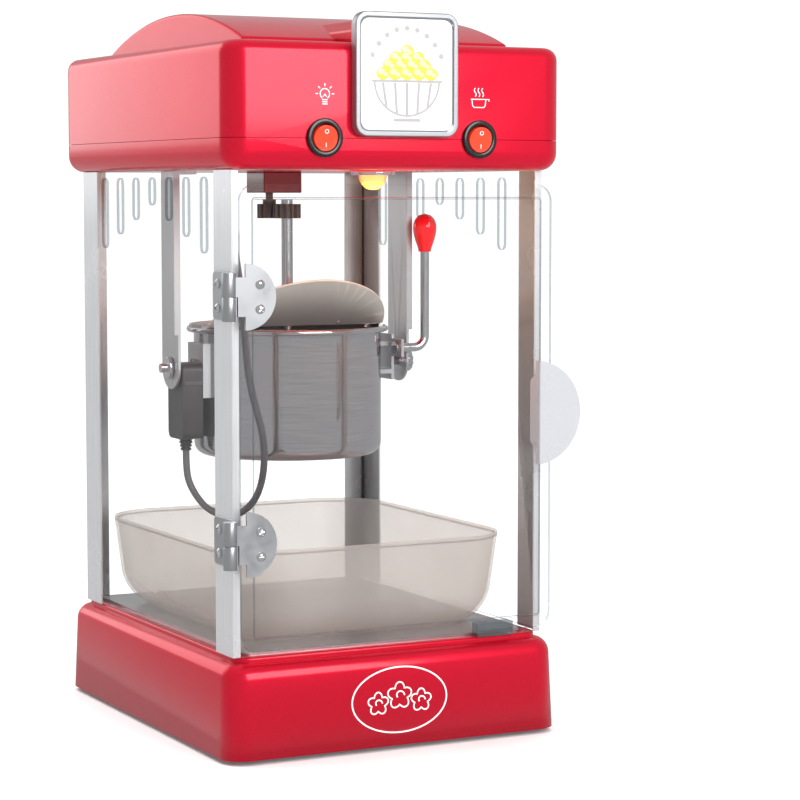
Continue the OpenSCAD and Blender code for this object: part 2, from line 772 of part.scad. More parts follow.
module trunnion_left() color("silver") at_part() mirror([1, 0, 0]) trunnion(plug_x);
module trunnion_right() color("silver") at_part() trunnion(bracket_x + bracket_t);

// A plain thumb disc on the left and a ribbed knob on the right
module knob_left() color("silver") at_part() mirror([1, 0, 0])
  translate([hanger_x + hanger_t + knob_gap, kettle_y, kettle_z]) difference() {
    rod_x(knob_r, 2.6);
    translate([-1, 0, 0]) rod_x(trunnion_d / 2, 5);
  }

module knob_right() color("silver") at_part()
  translate([hanger_x + hanger_t + knob_gap, kettle_y, kettle_z]) difference() {
    rod_x(knob_r, 6.6);
    translate([-1, 0, 0]) rod_x(trunnion_d / 2, 10);
    for (a = [0 : 30 : 330]) rotate([a, 0, 0]) translate([2, knob_r + 0.5, 0]) rod_x(1.2, 7);
  }

module dump_rod() color("silver") at_part() translate([0, dump_y, dump_z]) {
  run = dump_x - dump_bend - bracket_x;
  translate([bracket_x, 0, 0]) rod_x(rod_d / 2, run);
  translate([bracket_x - 1.6, 0, 0]) rod_x(4.6, 1.6);
  translate([bracket_x + bracket_t, 0, 0]) rod_x(4.6, 1.6);
  translate([dump_x - dump_bend, 0, dump_bend]) rotate([90, 0, 0]) rotate([0, 0, -90])
    rotate_extrude(angle = 90) translate([dump_bend, 0]) circle(d = rod_d);
  translate([dump_x, 0, dump_bend]) cylinder(d = rod_d, h = dump_top - dump_z - dump_bend + dump_knob_bore);
}

// An egg-shaped knob, slimmer where it meets the rod
module dump_knob() color("red") at_part() translate([dump_x, dump_y, dump_top]) difference() {
  rotate_extrude() intersection() {
    union() {
      translate([0, dump_knob_h - dump_knob_r]) circle(r = dump_knob_r);
      polygon([
        [0, 0],
        [dump_knob_neck, 0],
        [dump_knob_r * 0.99, dump_knob_h - dump_knob_r - 1],
        [0, dump_knob_h - dump_knob_r]
      ]);
    }
    square([20, 40]);
  }
  translate([0, 0, -1]) cylinder(d = rod_d, h = dump_knob_bore + 1);
}

// The kettle's plug sits on the left pin, between the socket plate and the strap
module kettle_plug() color("dimgray") at_part()
  translate([-plug_x - plug_t, kettle_y - plug_w / 2, plug_top - plug_h]) {
  plate_x(plug_t) difference() {
    round_rect(plug_w, plug_h, 4);
    translate([plug_w / 2, kettle_z - plug_top + plug_h]) circle(r = trunnion_d + run_gap);
  }
  translate([plug_t / 2, plug_w / 2, -relief_l]) cylinder(r1 = 3.4, r2 = 5, h = relief_l + 2);
}

// ---- Stirrer ----

// A gear with straight-sided teeth. The first tooth points along +X.
module gear(teeth, m) {
  root_r = m * teeth / 2 - m * 1.1;
  tip_r = m * teeth / 2 + m * 0.85;
  sunk_r = root_r - 0.6;
  half_root = (360 / teeth) * 0.36 - gear_backlash;
  half_tip = (360 / teeth) * 0.11;
  linear_extrude(gear_h) {
    circle(r = root_r);
    for (i = [0 : teeth - 1]) rotate(i * 360 / teeth)
      polygon([
        [sunk_r, -sunk_r * tan(half_root)],
        [tip_r * cos(half_tip), -tip_r * sin(half_tip)],
        [tip_r * cos(half_tip), tip_r * sin(half_tip)],
        [sunk_r, sunk_r * tan(half_root)]
      ]);
  }
}

module stir_shaft() color("silver") at_part() on_kettle()
  translate([0, 0, shaft_low]) cylinder(d = shaft_d, h = gear_z + gear_h + 3 - shaft_low);

module stir_gear() color("dimgray") at_part() on_kettle() translate([0, 0, gear_z]) difference() {
  rotate(90 + gear_angle) gear(kettle_teeth, gear_module);
  translate([0, 0, -1]) cylinder(d = shaft_d, h = gear_h + 2);
}

module stir_arm() color("silver") at_part() on_kettle() translate([0, 0, shaft_low + 0.5]) difference() {
  union() {
    cylinder(d = shaft_d + 6, h = 10);
    for (s = [0, 180]) rotate(s) {
      translate([0, -3, 0]) cube([kettle_r * 0.8, 6, 2]);
      translate([kettle_r * 0.8 - 2, -3, 0]) cube([2, 6, 12]);
    }
  }
  translate([0, 0, -1]) cylinder(d = shaft_d, h = 12);
}

// The motor's gear hangs on its shaft. A gap between teeth faces the kettle's gear.
module motor_pinion() color("dimgray") at_part() translate([pinion_x, pinion_y, gear_z]) {
  rotate(gear_angle - 90 + 180 / motor_teeth) gear(motor_teeth, gear_module);
  cylinder(d = output_d, h = cabin_top - gear_z + 5);
  translate([0, 0, gear_h]) cylinder(d = 9, h = 3);
}

// ---- Kettle lead ----

// A point on a smooth curve through the route, at t from 0 to 1 between points i and i + 1
function route_at(i) = lead_route[min(max(i, 0), len(lead_route) - 1)];
function curve(i, t) =
  0.5 * (2 * route_at(i) + (route_at(i + 1) - route_at(i - 1)) * t
    + (2 * route_at(i - 1) - 5 * route_at(i) + 4 * route_at(i + 1) - route_at(i + 2)) * t * t
    + (3 * route_at(i) - route_at(i - 1) - 3 * route_at(i + 1) + route_at(i + 2)) * t * t * t);
function unit(v) = v / norm(v);
lead_spans = len(lead_route) - 1;
lead_rings = lead_spans * lead_rings_each;
lead_sides = 8;
lead_path = [for (k = [0 : lead_rings])
  k == lead_rings
    ? route_at(lead_spans)
    : curve(floor(k / lead_rings_each), (k % lead_rings_each) / lead_rings_each)];
function lead_way(k) = unit(lead_path[min(k + 1, lead_rings)] - lead_path[max(k - 1, 0)]);
function lead_side(k) = unit(cross(lead_way(k), [0.3, 1, 0.1]));
function lead_point(k, a) =
  lead_path[k] + lead_r * (cos(a) * lead_side(k) + sin(a) * cross(lead_way(k), lead_side(k)));

module kettle_lead() color("dimgray") at_part() polyhedron(
  points = [for (k = [0 : lead_rings]) for (j = [0 : lead_sides - 1]) lead_point(k, j * 360 / lead_sides)],
  faces = concat(
    [[for (j = [0 : lead_sides - 1]) j]],
    [for (k = [0 : lead_rings - 1]) for (j = [0 : lead_sides - 1]) [
      k * lead_sides + j, (k + 1) * lead_sides + j,
      (k + 1) * lead_sides + (j + 1) % lead_sides, k * lead_sides + (j + 1) % lead_sides
    ]],
    [[for (j = [lead_sides - 1 : -1 : 0]) lead_rings * lead_sides + j]]
  )
);

// ---- Tray ----

// Half of the tray's cross-section, grown inwards by an inset: a flat bottom, a big round and a leaning wall
module tray_profile(inset, h) {
  r = tray_bottom_r - inset;
  foot = tray_corner - tray_slope - tray_bottom_r;
  polygon([[0, inset], [foot, inset], [foot + r, tray_bottom_r], [foot + r + tray_slope, h], [0, h]]);
  translate([foot, tray_bottom_r]) mirror([0, 1]) quarter_disc(r);
}

module tray() color("gray", 0.4) at_part() {
  w = 2 * tray_half_x;
  d = tray_rear_y - tray_front_y;
  translate([0, (tray_front_y + tray_rear_y) / 2, floor_z + 0.1]) difference() {
    union() {
      slab(w, d, tray_h, tray_corner) tray_profile(0, tray_h);
      translate([0, 0, tray_h - tray_lip_h])
        slab(w + 2 * tray_lip, d + 2 * tray_lip, tray_lip_h, tray_corner + tray_lip)
          edge_profile(tray_corner + tray_lip, tray_lip_h, 0, 0, 0);
    }
    difference() {
      slab(w, d, tray_h + 1, tray_corner) tray_profile(tray_t, tray_h + 1);
      translate([-w, -d, 0]) cube([2 * w, 2 * d, tray_t]);
    }
  }
}

base_shell();
bottom_cover();
feet();
foot_screws();
floor_sheet();
post_front_left();
post_front_right();
post_rear_left();
post_rear_right();
panel_left();
panel_right();
panel_rear();
canopy_lower();
canopy_upper();
canopy_vault();
canopy_hood();
sign_frame();
sign_plate();
switch_lamp();
switch_kettle();
rocker_lamp();
rocker_kettle();
lamp_holder();
lamp_bulb();
motor();
gearbox();
motor_pinion();
lead_gland();
door_panel();
door_handle();
door_stop();
hinge_post_upper();
hinge_post_lower();
hinge_door_upper();
hinge_door_lower();
hinge_pins();
hinge_screws_post();
hinge_screws_door();
hanger_left();
hanger_right();
kettle_casing();
kettle_bowl();
kettle_heater();
kettle_crossbar();
bracket_left();
bracket_right();
trunnion_left();
trunnion_right();
knob_left();
knob_right();
dump_rod();
dump_knob();
kettle_plug();
front_flap();
rear_flap();
stir_shaft();
stir_gear();
stir_arm();
kettle_lead();
tray();
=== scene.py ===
"""Looks of a tabletop popcorn maker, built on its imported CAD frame."""

import logging
import math
from dataclasses import dataclass, field
from enum import Enum
from typing import Iterable, Sequence

import bmesh
import bpy
from mathutils import Matrix, Vector


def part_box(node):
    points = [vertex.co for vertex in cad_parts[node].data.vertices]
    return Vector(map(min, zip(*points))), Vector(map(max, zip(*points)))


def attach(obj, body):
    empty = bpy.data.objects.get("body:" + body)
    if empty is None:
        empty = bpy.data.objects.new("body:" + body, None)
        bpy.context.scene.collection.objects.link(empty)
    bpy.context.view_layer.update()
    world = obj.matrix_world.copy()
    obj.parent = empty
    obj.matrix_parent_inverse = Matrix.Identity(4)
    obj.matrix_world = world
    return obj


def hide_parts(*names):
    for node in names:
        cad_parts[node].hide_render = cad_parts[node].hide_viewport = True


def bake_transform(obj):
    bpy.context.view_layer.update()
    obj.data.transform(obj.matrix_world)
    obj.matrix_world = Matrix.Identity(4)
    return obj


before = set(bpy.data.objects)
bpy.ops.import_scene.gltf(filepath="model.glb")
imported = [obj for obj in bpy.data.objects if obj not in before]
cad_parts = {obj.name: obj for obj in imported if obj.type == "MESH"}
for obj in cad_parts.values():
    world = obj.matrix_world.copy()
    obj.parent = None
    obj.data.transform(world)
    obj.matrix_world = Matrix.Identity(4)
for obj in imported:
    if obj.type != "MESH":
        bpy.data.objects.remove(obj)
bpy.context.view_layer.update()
LOG = logging.getLogger("popcorn_maker")
MM = 0.001
TAU = 2.0 * math.pi


class Grain(Enum):
    """The way that the lines of a brushed metal run."""

    UPRIGHT = (1.0, 1.0, 0.012)
    ACROSS = (0.012, 1.0, 1.0)
    DEEP = (1.0, 0.012, 1.0)
    ROUND = (0.02, 0.02, 1.0)


class Body(Enum):
    """The bodies of the frame that pieces ride on."""

    CABINET = "cabinet"
    DOOR = "door"
    KETTLE = "kettle"
    ROCKER_LAMP = "rocker_lamp"
    ROCKER_KETTLE = "rocker_kettle"
    TRAY = "tray"


# ---------------------------------------------------------------- materials


def linear(hex_colour: str, alpha: float = 1.0) -> tuple[float, float, float, float]:
    """Turns an sRGB hex colour to linear light.

    Args:
        hex_colour: Six hex digits.
        alpha: The fourth number.

    Returns:
        Red, green, blue and alpha.
    """
    parts = [int(hex_colour[i : i + 2], 16) / 255.0 for i in (0, 2, 4)]
    red, green, blue = [p / 12.92 if p <= 0.04045 else ((p + 0.055) / 1.055) ** 2.4 for p in parts]
    return (red, green, blue, alpha)


def add_node(
    tree: bpy.types.NodeTree,
    kind: str,
    inputs: dict[str | int, object] | None = None,
    **settings: object,
) -> bpy.types.Node:
    """Adds one node.

    Args:
        tree: The material's node tree.
        kind: The node's type name.
        inputs: Socket name or number to a value, or to another node's output to link.
        **settings: The node's own settings.

    Returns:
        The new node.
    """
    node = tree.nodes.new(kind)
    for name, value in settings.items():
        setattr(node, name, value)
    for name, value in (inputs or {}).items():
        if isinstance(value, bpy.types.NodeSocket):
            tree.links.new(value, node.inputs[name])
        else:
            node.inputs[name].default_value = value
    return node


@dataclass(frozen=True)
class Finish:
    """One finish. Each kind of finish says how its surface is made."""

    name: str
    colour: str = "ffffff"

    def material(self) -> bpy.types.Material:
        """Gives the finish's material, made once.

        Returns:
            The material.
        """
        found = bpy.data.materials.get(self.name)
        if found is not None:
            return found
        made = bpy.data.materials.new(self.name)
        made.use_nodes = True
        made.node_tree.nodes.clear()
        surface = self.surface(made.node_tree)
        add_node(made.node_tree, "ShaderNodeOutputMaterial", {"Surface": surface})
        return made

    def surface(self, tree: bpy.types.NodeTree) -> bpy.types.NodeSocket:
        """Builds the surface shader.

        Args:
            tree: The material's node tree.

        Returns:
            The shader's output.
        """
        raise NotImplementedError

    def place(
        self, tree: bpy.types.NodeTree, stretch: Sequence[float] = (1.0, 1.0, 1.0)
    ) -> bpy.types.NodeSocket:
        """Gives object coordinates in millimetres, stretched along each axis.

        Args:
            tree: The material's node tree.
            stretch: How densely the pattern runs along each axis.

        Returns:
            The vector output.
        """
        where = add_node(tree, "ShaderNodeTexCoord")
        scale = [1000.0 * s for s in stretch]
        return add_node(
            tree, "ShaderNodeMapping", {"Vector": where.outputs["Object"], "Scale": scale}
        ).outputs["Vector"]

    def noise(
        self,
        tree: bpy.types.NodeTree,
        size_mm: float,
        stretch: Sequence[float] = (1.0, 1.0, 1.0),
        detail: float = 2.0,
    ) -> bpy.types.NodeSocket:
        """Gives a noise whose lumps are about size_mm across, from 0 to 1.

        Args:
            tree: The node tree to add to.
            size_mm: The lumps' size.
            stretch: How densely the pattern runs along each axis.
            detail: How much finer noise is mixed in.

        Returns:
            The noise, from 0 to 1.
        """
        return add_node(
            tree,
            "ShaderNodeTexNoise",
            {"Vector": self.place(tree, stretch), "Scale": 1.0 / size_mm, "Detail": detail},
        ).outputs["Fac"]

    def between(
        self, tree: bpy.types.NodeTree, value: bpy.types.NodeSocket, low: float, high: float
    ) -> bpy.types.NodeSocket:
        """Maps the middle half of a noise onto the range from low to high.

        Args:
            tree: The node tree to add to.
            value: The noise to read.
            low: The lowest value.
            high: The highest value.

        Returns:
            The value in the range.
        """
        return add_node(
            tree,
            "ShaderNodeMapRange",
            {"Value": value, "From Min": 0.25, "From Max": 0.75, "To Min": low, "To Max": high},
        ).outputs["Result"]

    def tint(
        self, tree: bpy.types.NodeTree, value: bpy.types.NodeSocket, one: str, other: str
    ) -> bpy.types.NodeSocket:
        """Runs from one colour to the other as a noise goes from low to high.

        Args:
            tree: The node tree to add to.
            value: The noise to read.
            one: The hex colour where the noise is low.
            other: The hex colour where it is high.

        Returns:
            The colour.
        """
        ramp = add_node(tree, "ShaderNodeValToRGB", {"Fac": value})
        ramp.color_ramp.elements[0].position = 0.3
        ramp.color_ramp.elements[0].color = linear(one)
        ramp.color_ramp.elements[1].position = 0.7
        ramp.color_ramp.elements[1].color = linear(other)
        return ramp.outputs["Color"]

    def bump(
        self, tree: bpy.types.NodeTree, value: bpy.types.NodeSocket, depth_mm: float, strength: float
    ) -> bpy.types.NodeSocket:
        """Turns a height into a normal.

        Args:
            tree: The node tree to add to.
            value: The height to read.
            depth_mm: The height of the bumps.
            strength: How much of the effect shows, from 0 to 1.

        Returns:
            The normal.
        """
        return add_node(
            tree,
            "ShaderNodeBump",
            {"Height": value, "Distance": depth_mm * MM, "Strength": strength},
        ).outputs["Normal"]


@dataclass(frozen=True)
class MetallicPaint(Finish):
    """Metallic lacquer on moulded ABS: fine flakes under a clear coat, so broad highlights turn pink."""

    dark: str = "c00a26"
    flake_mm: float = 0.25

    def surface(self, tree: bpy.types.NodeTree) -> bpy.types.NodeSocket:
        """Mixes two reds by the flakes, and lays the clear coat over them.

        Args:
            tree: The node tree to add to.

        Returns:
            The shader's output.
        """
        flakes = self.noise(tree, self.flake_mm, detail=0.0)
        clouds = self.noise(tree, 60.0)
        ripple = self.noise(tree, 9.0, detail=1.0)
        return add_node(
            tree,
            "ShaderNodeBsdfPrincipled",
            {
                "Base Color": self.tint(tree, flakes, self.dark, self.colour),
                "Metallic": 0.5,
                "Specular IOR Level": 0.0,
                "Roughness": self.between(tree, clouds, 0.30, 0.36),
                "Coat Weight": 1.0,
                "Coat Roughness": 0.14,
                "Coat IOR": 1.38,
                "Normal": self.bump(tree, flakes, 0.01, 0.04),
                "Coat Normal": self.bump(tree, ripple, 0.02, 0.05),
            },
        ).outputs["BSDF"]


@dataclass(frozen=True)
class BrushedMetal(Finish):
    """Rolled or brushed sheet: fine lines one way, which draw the highlights out across them."""

    grain: Grain = Grain.UPRIGHT
    roughness: float = 0.25
    line_mm: float = 0.5
    depth: float = 0.25
    metallic: float = 0.9
    shade: float = 0.93

    def surface(self, tree: bpy.types.NodeTree) -> bpy.types.NodeSocket:
        """Streaks the metal's colour and height along its grain.

        Args:
            tree: The node tree to add to.

        Returns:
            The shader's output.
        """
        lines = self.noise(tree, self.line_mm, self.grain.value, detail=3.0)
        clouds = self.noise(tree, 35.0)
        levels = [int(int(self.colour[i : i + 2], 16) * self.shade) for i in (0, 2, 4)]
        shade = "{:02x}{:02x}{:02x}".format(*levels)
        return add_node(
            tree,
            "ShaderNodeBsdfPrincipled",
            {
                "Base Color": self.tint(tree, lines, shade, self.colour),
                "Metallic": self.metallic,
                "Roughness": self.between(tree, clouds, self.roughness * 0.85, self.roughness * 1.2),
                "Normal": self.bump(tree, lines, 0.02, self.depth),
            },
        ).outputs["BSDF"]


@dataclass(frozen=True)
class PlatedMetal(Finish):
    """Nickel or chrome plate on steel: nearly a mirror, with faint haze."""

    roughness: float = 0.12

    def surface(self, tree: bpy.types.NodeTree) -> bpy.types.NodeSocket:
        """Makes a mirror whose haze drifts a little.

        Args:
            tree: The node tree to add to.

        Returns:
            The shader's output.
        """
        haze = self.noise(tree, 12.0, detail=4.0)
        return add_node(
            tree,
            "ShaderNodeBsdfPrincipled",
            {
                "Base Color": linear(self.colour),
                "Metallic": 1.0,
                "Roughness": self.between(tree, haze, self.roughness * 0.7, self.roughness * 1.4),
                "Normal": self.bump(tree, self.noise(tree, 3.0), 0.01, 0.06),
            },
        ).outputs["BSDF"]


@dataclass(frozen=True)
class Moulded(Finish):
    """Injection-moulded plastic: a faint moulded texture under an even sheen."""

    roughness: float = 0.3
    grain_mm: float = 0.6
    depth: float = 0.08
    coat: float = 0.0
    metallic: float = 0.0
    glow: float = 0.0

    def surface(self, tree: bpy.types.NodeTree) -> bpy.types.NodeSocket:
        """Makes an even colour under a faint moulded grain.

        Args:
            tree: The node tree to add to.

        Returns:
            The shader's output.
        """
        grain = self.noise(tree, self.grain_mm, detail=1.0)
        clouds = self.noise(tree, 20.0)
        return add_node(
            tree,
            "ShaderNodeBsdfPrincipled",
            {
                "Base Color": linear(self.colour),
                "Metallic": self.metallic,
                "Roughness": self.between(tree, clouds, self.roughness * 0.88, self.roughness * 1.15),
                "IOR": 1.5,
                "Coat Weight": self.coat,
                "Coat Roughness": 0.05,
                # glow adds emission in the finish's own colour: the surface shines by itself, without a
                # lamp.
                "Emission Color": linear(self.colour),
                "Emission Strength": self.glow,
                "Normal": self.bump(tree, grain, 0.02, self.depth),
            },
        ).outputs["BSDF"]


@dataclass(frozen=True)
class ClearSheet(Finish):
    """Cast acrylic sheet: light passes straight through, and only its gloss and its edges show."""

    tint_colour: str = "fefefe"
    edge_colour: str = "b9c0c4"
    gloss_share: float = 0.008
    edge_axis: str = ""

    def surface(self, tree: bpy.types.NodeTree) -> bpy.types.NodeSocket:
        """Mixes clear glass with a gloss that grows at steep angles.

        Args:
            tree: The node tree to add to.

        Returns:
            The shader's output.
        """
        smears = self.noise(tree, 45.0, detail=3.0)
        gloss = add_node(
            tree,
            "ShaderNodeBsdfPrincipled",
            {
                "Base Color": linear(self.colour),
                "Metallic": 1.0,
                "Roughness": self.between(tree, smears, 0.02, 0.06),
            },
        )
        through = add_node(tree, "ShaderNodeBsdfTransparent", {"Color": self.edge_tint(tree)})
        facing = add_node(tree, "ShaderNodeLayerWeight", {"Blend": 0.5})
        steep = add_node(
            tree, "ShaderNodeMath", {0: facing.outputs["Facing"], 1: 5.0}, operation="POWER"
        )
        share = add_node(
            tree,
            "ShaderNodeMapRange",
            {"Value": steep.outputs[0], "To Min": self.gloss_share, "To Max": 0.5},
        )
        return add_node(
            tree,
            "ShaderNodeMixShader",
            {0: share.outputs[0], 1: through.outputs[0], 2: gloss.outputs[0]},
        ).outputs[0]

    def edge_tint(self, tree: bpy.types.NodeTree) -> object:
        """Gives the sheet's tint, darker on the sawn edges, which face away from edge_axis.

        Args:
            tree: The node tree to add to.

        Returns:
            The colour, or the output that gives it.
        """
        if not self.edge_axis:
            return linear(self.tint_colour)
        normal = add_node(tree, "ShaderNodeNewGeometry").outputs["True Normal"]
        across = add_node(tree, "ShaderNodeSeparateXYZ", {"Vector": normal}).outputs[self.edge_axis]
        flat = add_node(tree, "ShaderNodeMath", {0: across}, operation="ABSOLUTE").outputs[0]
        return self.tint(tree, flat, self.edge_colour, self.tint_colour)


@dataclass(frozen=True)
class SmokySheet(Finish):
    """Moulded smoky polycarbonate: two thirds of the light passes, and the rest scatters greyish."""

    open_share: float = 0.66

    def surface(self, tree: bpy.types.NodeTree) -> bpy.types.NodeSocket:
        """Mixes clear glass with a milky body.

        Args:
            tree: The node tree to add to.

        Returns:
            The shader's output.
        """
        clouds = self.noise(tree, 40.0, detail=2.0)
        grain = self.noise(tree, 0.8, detail=1.0)
        shell = add_node(
            tree,
            "ShaderNodeBsdfPrincipled",
            {
                "Base Color": self.tint(tree, clouds, self.colour, "e8e5e2"),
                "Roughness": 0.22,
                "IOR": 1.58,
                "Normal": self.bump(tree, grain, 0.02, 0.08),
            },
        )
        glow = add_node(tree, "ShaderNodeBsdfTranslucent", {"Color": linear("e6e2de")})
        body = add_node(tree, "ShaderNodeMixShader", {0: 0.4, 1: shell.outputs[0], 2: glow.outputs[0]})
        through = add_node(tree, "ShaderNodeBsdfTransparent", {"Color": linear("f6f4f2")})
        return add_node(
            tree,
            "ShaderNodeMixShader",
            {0: 1.0 - self.open_share, 1: through.outputs[0], 2: body.outputs[0]},
        ).outputs[0]


@dataclass(frozen=True)
class LitGlass(Finish):
    """The lamp's glass envelope, lit warm from inside, brightest at its middle."""

    strength: float = 0.8

    def surface(self, tree: bpy.types.NodeTree) -> bpy.types.NodeSocket:
        """Makes glass that glows by how much it faces the eye.

        Args:
            tree: The node tree to add to.

        Returns:
            The shader's output.
        """
        facing = add_node(tree, "ShaderNodeLayerWeight", {"Blend": 0.45}).outputs["Facing"]
        return add_node(
            tree,
            "ShaderNodeBsdfPrincipled",
            {
                "Base Color": linear(self.colour),
                "Roughness": self.between(tree, self.noise(tree, 6.0), 0.1, 0.16),
                "IOR": 1.5,
                "Emission Color": self.tint(tree, facing, "ffd088", "f06a10"),
                "Emission Strength": self.strength,
            },
        ).outputs["BSDF"]


# Deep red that sparkles finely, with pinkish highlights where it faces the light.
RED_PAINT = MetallicPaint("metallic_red_lacquer", "e00c34")
# Bright, nearly white posts with soft upright streaks.
POST_ALUMINIUM = BrushedMetal(
    "bright_anodised_aluminium", "e9eaec", Grain.UPRIGHT, 0.24, 0.6, 0.15, 0.55
)
# Duller trim, brushed from side to side.
FRAME_ALUMINIUM = BrushedMetal("satin_aluminium", "b2b4b8", Grain.ACROSS, 0.34, 0.5, 0.12)
# Pale grey straps with a broad, soft highlight.
STRAP_STEEL = BrushedMetal("galvanised_strap_steel", "cfd0d2", Grain.UPRIGHT, 0.38, 0.6, 0.2)
# A sharp mirror whose turning lines draw the reflections out round the kettle.
KETTLE_STEEL = BrushedMetal("polished_stainless_steel", "c6c5c8", Grain.ROUND, 0.08, 0.45, 0.14)
# Sheet with faint lines from front to back, which blurs what it mirrors.
SHEET_STEEL = BrushedMetal("rolled_stainless_sheet", "c4c3c6", Grain.DEEP, 0.22, 0.5, 0.15)
# A warm grey mirror with a little haze.
NICKEL = PlatedMetal("nickel_plate", "dadbde", 0.16)
# Soft grey hinge leaves without sharp reflections.
SATIN_NICKEL = PlatedMetal("satin_nickel_plate", "c0c2c5", 0.34)
# The brightest mirror, on small screws and the lamp holder.
CHROME = PlatedMetal("bright_chrome_plate", "e4e5e8", 0.07)
# Dark grey metal that stays in the background.
DARK_STEEL = BrushedMetal("oiled_dark_steel", "5a5a5d", Grain.ROUND, 0.4, 0.6, 0.2)
# Seen mostly by its gloss and its edges.
ACRYLIC = ClearSheet("clear_acrylic", "ffffff")
# The same sheet, with darker edges at the front and back.
SIDE_ACRYLIC = ClearSheet("clear_acrylic_side", "ffffff", edge_axis="X")
# The same sheet, with darker edges at the sides.
REAR_ACRYLIC = ClearSheet("clear_acrylic_rear", "ffffff", edge_axis="Y")
# Pale grey lines where a sheet ends.
ACRYLIC_EDGE = ClearSheet("acrylic_sawn_edge", "e6eaee", "c6cdd1", gloss_share=0.25)
# A milky grey that shows faintly what is behind it.
SMOKE = SmokySheet("smoky_polycarbonate", "d9d5d2")
# An even, warm grey without lines.
FLAP_ALUMINIUM = Moulded("bead_blasted_aluminium", "d8d2ca", 0.5, 0.4, 0.15, metallic=0.35)
# Silvery white plastic with a soft sheen.
SILVER_ABS = Moulded("silver_white_abs", "b4b6ba", 0.28, 0.5, 0.05, coat=0.3)
# Clean white with a glossy face.
SIGN_WHITE = Moulded("white_gloss_styrene", "f6f6f6", 0.18, 0.8, 0.03, coat=0.5)
# Black with small, sharp highlights.
BLACK_NYLON = Moulded("black_gloss_nylon", "0c0c0d", 0.2, 0.5, 0.06, coat=0.4)
# A dark, matt plug.
GREY_PLASTIC = Moulded("grey_phenolic", "343437", 0.42, 0.7, 0.2)
# A dull grey that shows the teeth by their shade.
GEAR_PLASTIC = Moulded("dark_grey_acetal", "4c4c50", 0.38, 0.6, 0.1)
# Saturated red with a round, wet-looking highlight.
KNOB_RED = Moulded("red_phenolic", "e0101c", 0.12, 0.8, 0.03, coat=0.8)
# Orange red with a painted glow, as if lit a little from inside.
ROCKER_RED = Moulded("translucent_red_polycarbonate", "f03a1c", 0.16, 0.8, 0.03, coat=0.7, glow=0.25)
# A dark, glossy red box.
MAROON = Moulded("maroon_enamel", "5c0710", 0.15, 0.8, 0.04, coat=0.8)
# Matt black.
RUBBER = Moulded("black_rubber", "141414", 0.7, 0.5, 0.3)
# Matt mid grey, with a broad highlight along the lead.
LEAD_RUBBER = Moulded("grey_silicone_lead", "58585c", 0.5, 0.6, 0.15)
# Crisp white lines on the red, with a faint painted glow.
WHITE_INK = Moulded("white_screen_ink", "fafafa", 0.4, 0.4, 0.1, glow=0.05)
# Pale grey lines on the sign.
GREY_INK = Moulded("grey_screen_ink", "a9a6a6", 0.45, 0.4, 0.1)
# Buttery yellow.
YELLOW_INK = Moulded("yellow_screen_ink", "f2c53c", 0.4, 0.4, 0.1)
# The lighter side of the yellow.
PALE_INK = Moulded("pale_yellow_screen_ink", "fbe9a6", 0.4, 0.4, 0.1)
# A warm glow, yellow in the middle and orange at the rim.
BULB_GLASS = LitGlass("lit_bulb_glass", "ff9a48")


# ---------------------------------------------------------------- geometry


def datum() -> Vector:
    """Gives the middle of the canopy's plan at the underside of the base, in metres.

    Returns:
        The datum, in metres.
    """
    low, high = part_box("canopy_upper")
    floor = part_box("base_shell")[0].z
    front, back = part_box("canopy_lower")
    return Vector(((low.x + high.x) / 2, (front.y + back.y) / 2, floor))


ORIGIN = datum()


def mm_box(node: str) -> tuple[Vector, Vector]:
    """Gives a CAD node's lowest and highest corners in millimetres from the datum."""
    low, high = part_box(node)
    return (low - ORIGIN) / MM, (high - ORIGIN) / MM


def centre(node: str) -> Vector:
    """Gives the middle of a CAD node's box in millimetres from the datum."""
    low, high = mm_box(node)
    return (low + high) / 2


def edges_along(bm: bmesh.types.BMesh, axis: int) -> list[bmesh.types.BMEdge]:
    """Gives the edges that run along one axis.

    Args:
        bm: The mesh.
        axis: 0, 1 or 2 for X, Y or Z.

    Returns:
        The edges.
    """
    found = []
    for edge in bm.edges:
        way = (edge.verts[1].co - edge.verts[0].co).normalized()
        if abs(way[axis]) > 0.999:
            found.append(edge)
    return found


def edges_at(bm: bmesh.types.BMesh, axis: int, value: float) -> list[bmesh.types.BMEdge]:
    """Gives the edges that lie wholly at one value of an axis."""
    return [e for e in bm.edges if all(abs(v.co[axis] - value) < 1e-4 for v in e.verts)]


def faces_at(bm: bmesh.types.BMesh, axis: int, value: float) -> list[bmesh.types.BMFace]:
    """Gives the faces that lie wholly at one value of an axis."""
    return [f for f in bm.faces if all(abs(v.co[axis] - value) < 1e-4 for v in f.verts)]


def round_edges(
    bm: bmesh.types.BMesh, edges: list[bmesh.types.BMEdge], radius: float, segments: int = 6
) -> None:
    """Rounds edges to a radius.

    Args:
        bm: The mesh.
        edges: The edges to round.
        radius: The radius in millimetres.
        segments: How many flats make the round.
    """
    bmesh.ops.bevel(
        bm,
        geom=edges,
        offset=radius,
        offset_type="OFFSET",
        segments=segments,
        profile=0.5,
        affect="EDGES",
        material=-1,
    )


def block(low: Sequence[float], high: Sequence[float]) -> bmesh.types.BMesh:
    """Makes a box between two corners.

    Args:
        low: The lowest corner.
        high: The highest corner.

    Returns:
        The box's mesh.
    """
    bm = bmesh.new()
    bmesh.ops.create_cube(bm, size=1.0)
    size = Vector(high) - Vector(low)
    bmesh.ops.scale(bm, vec=size, verts=bm.verts)
    bmesh.ops.translate(bm, vec=(Vector(low) + Vector(high)) / 2, verts=bm.verts)
    return bm


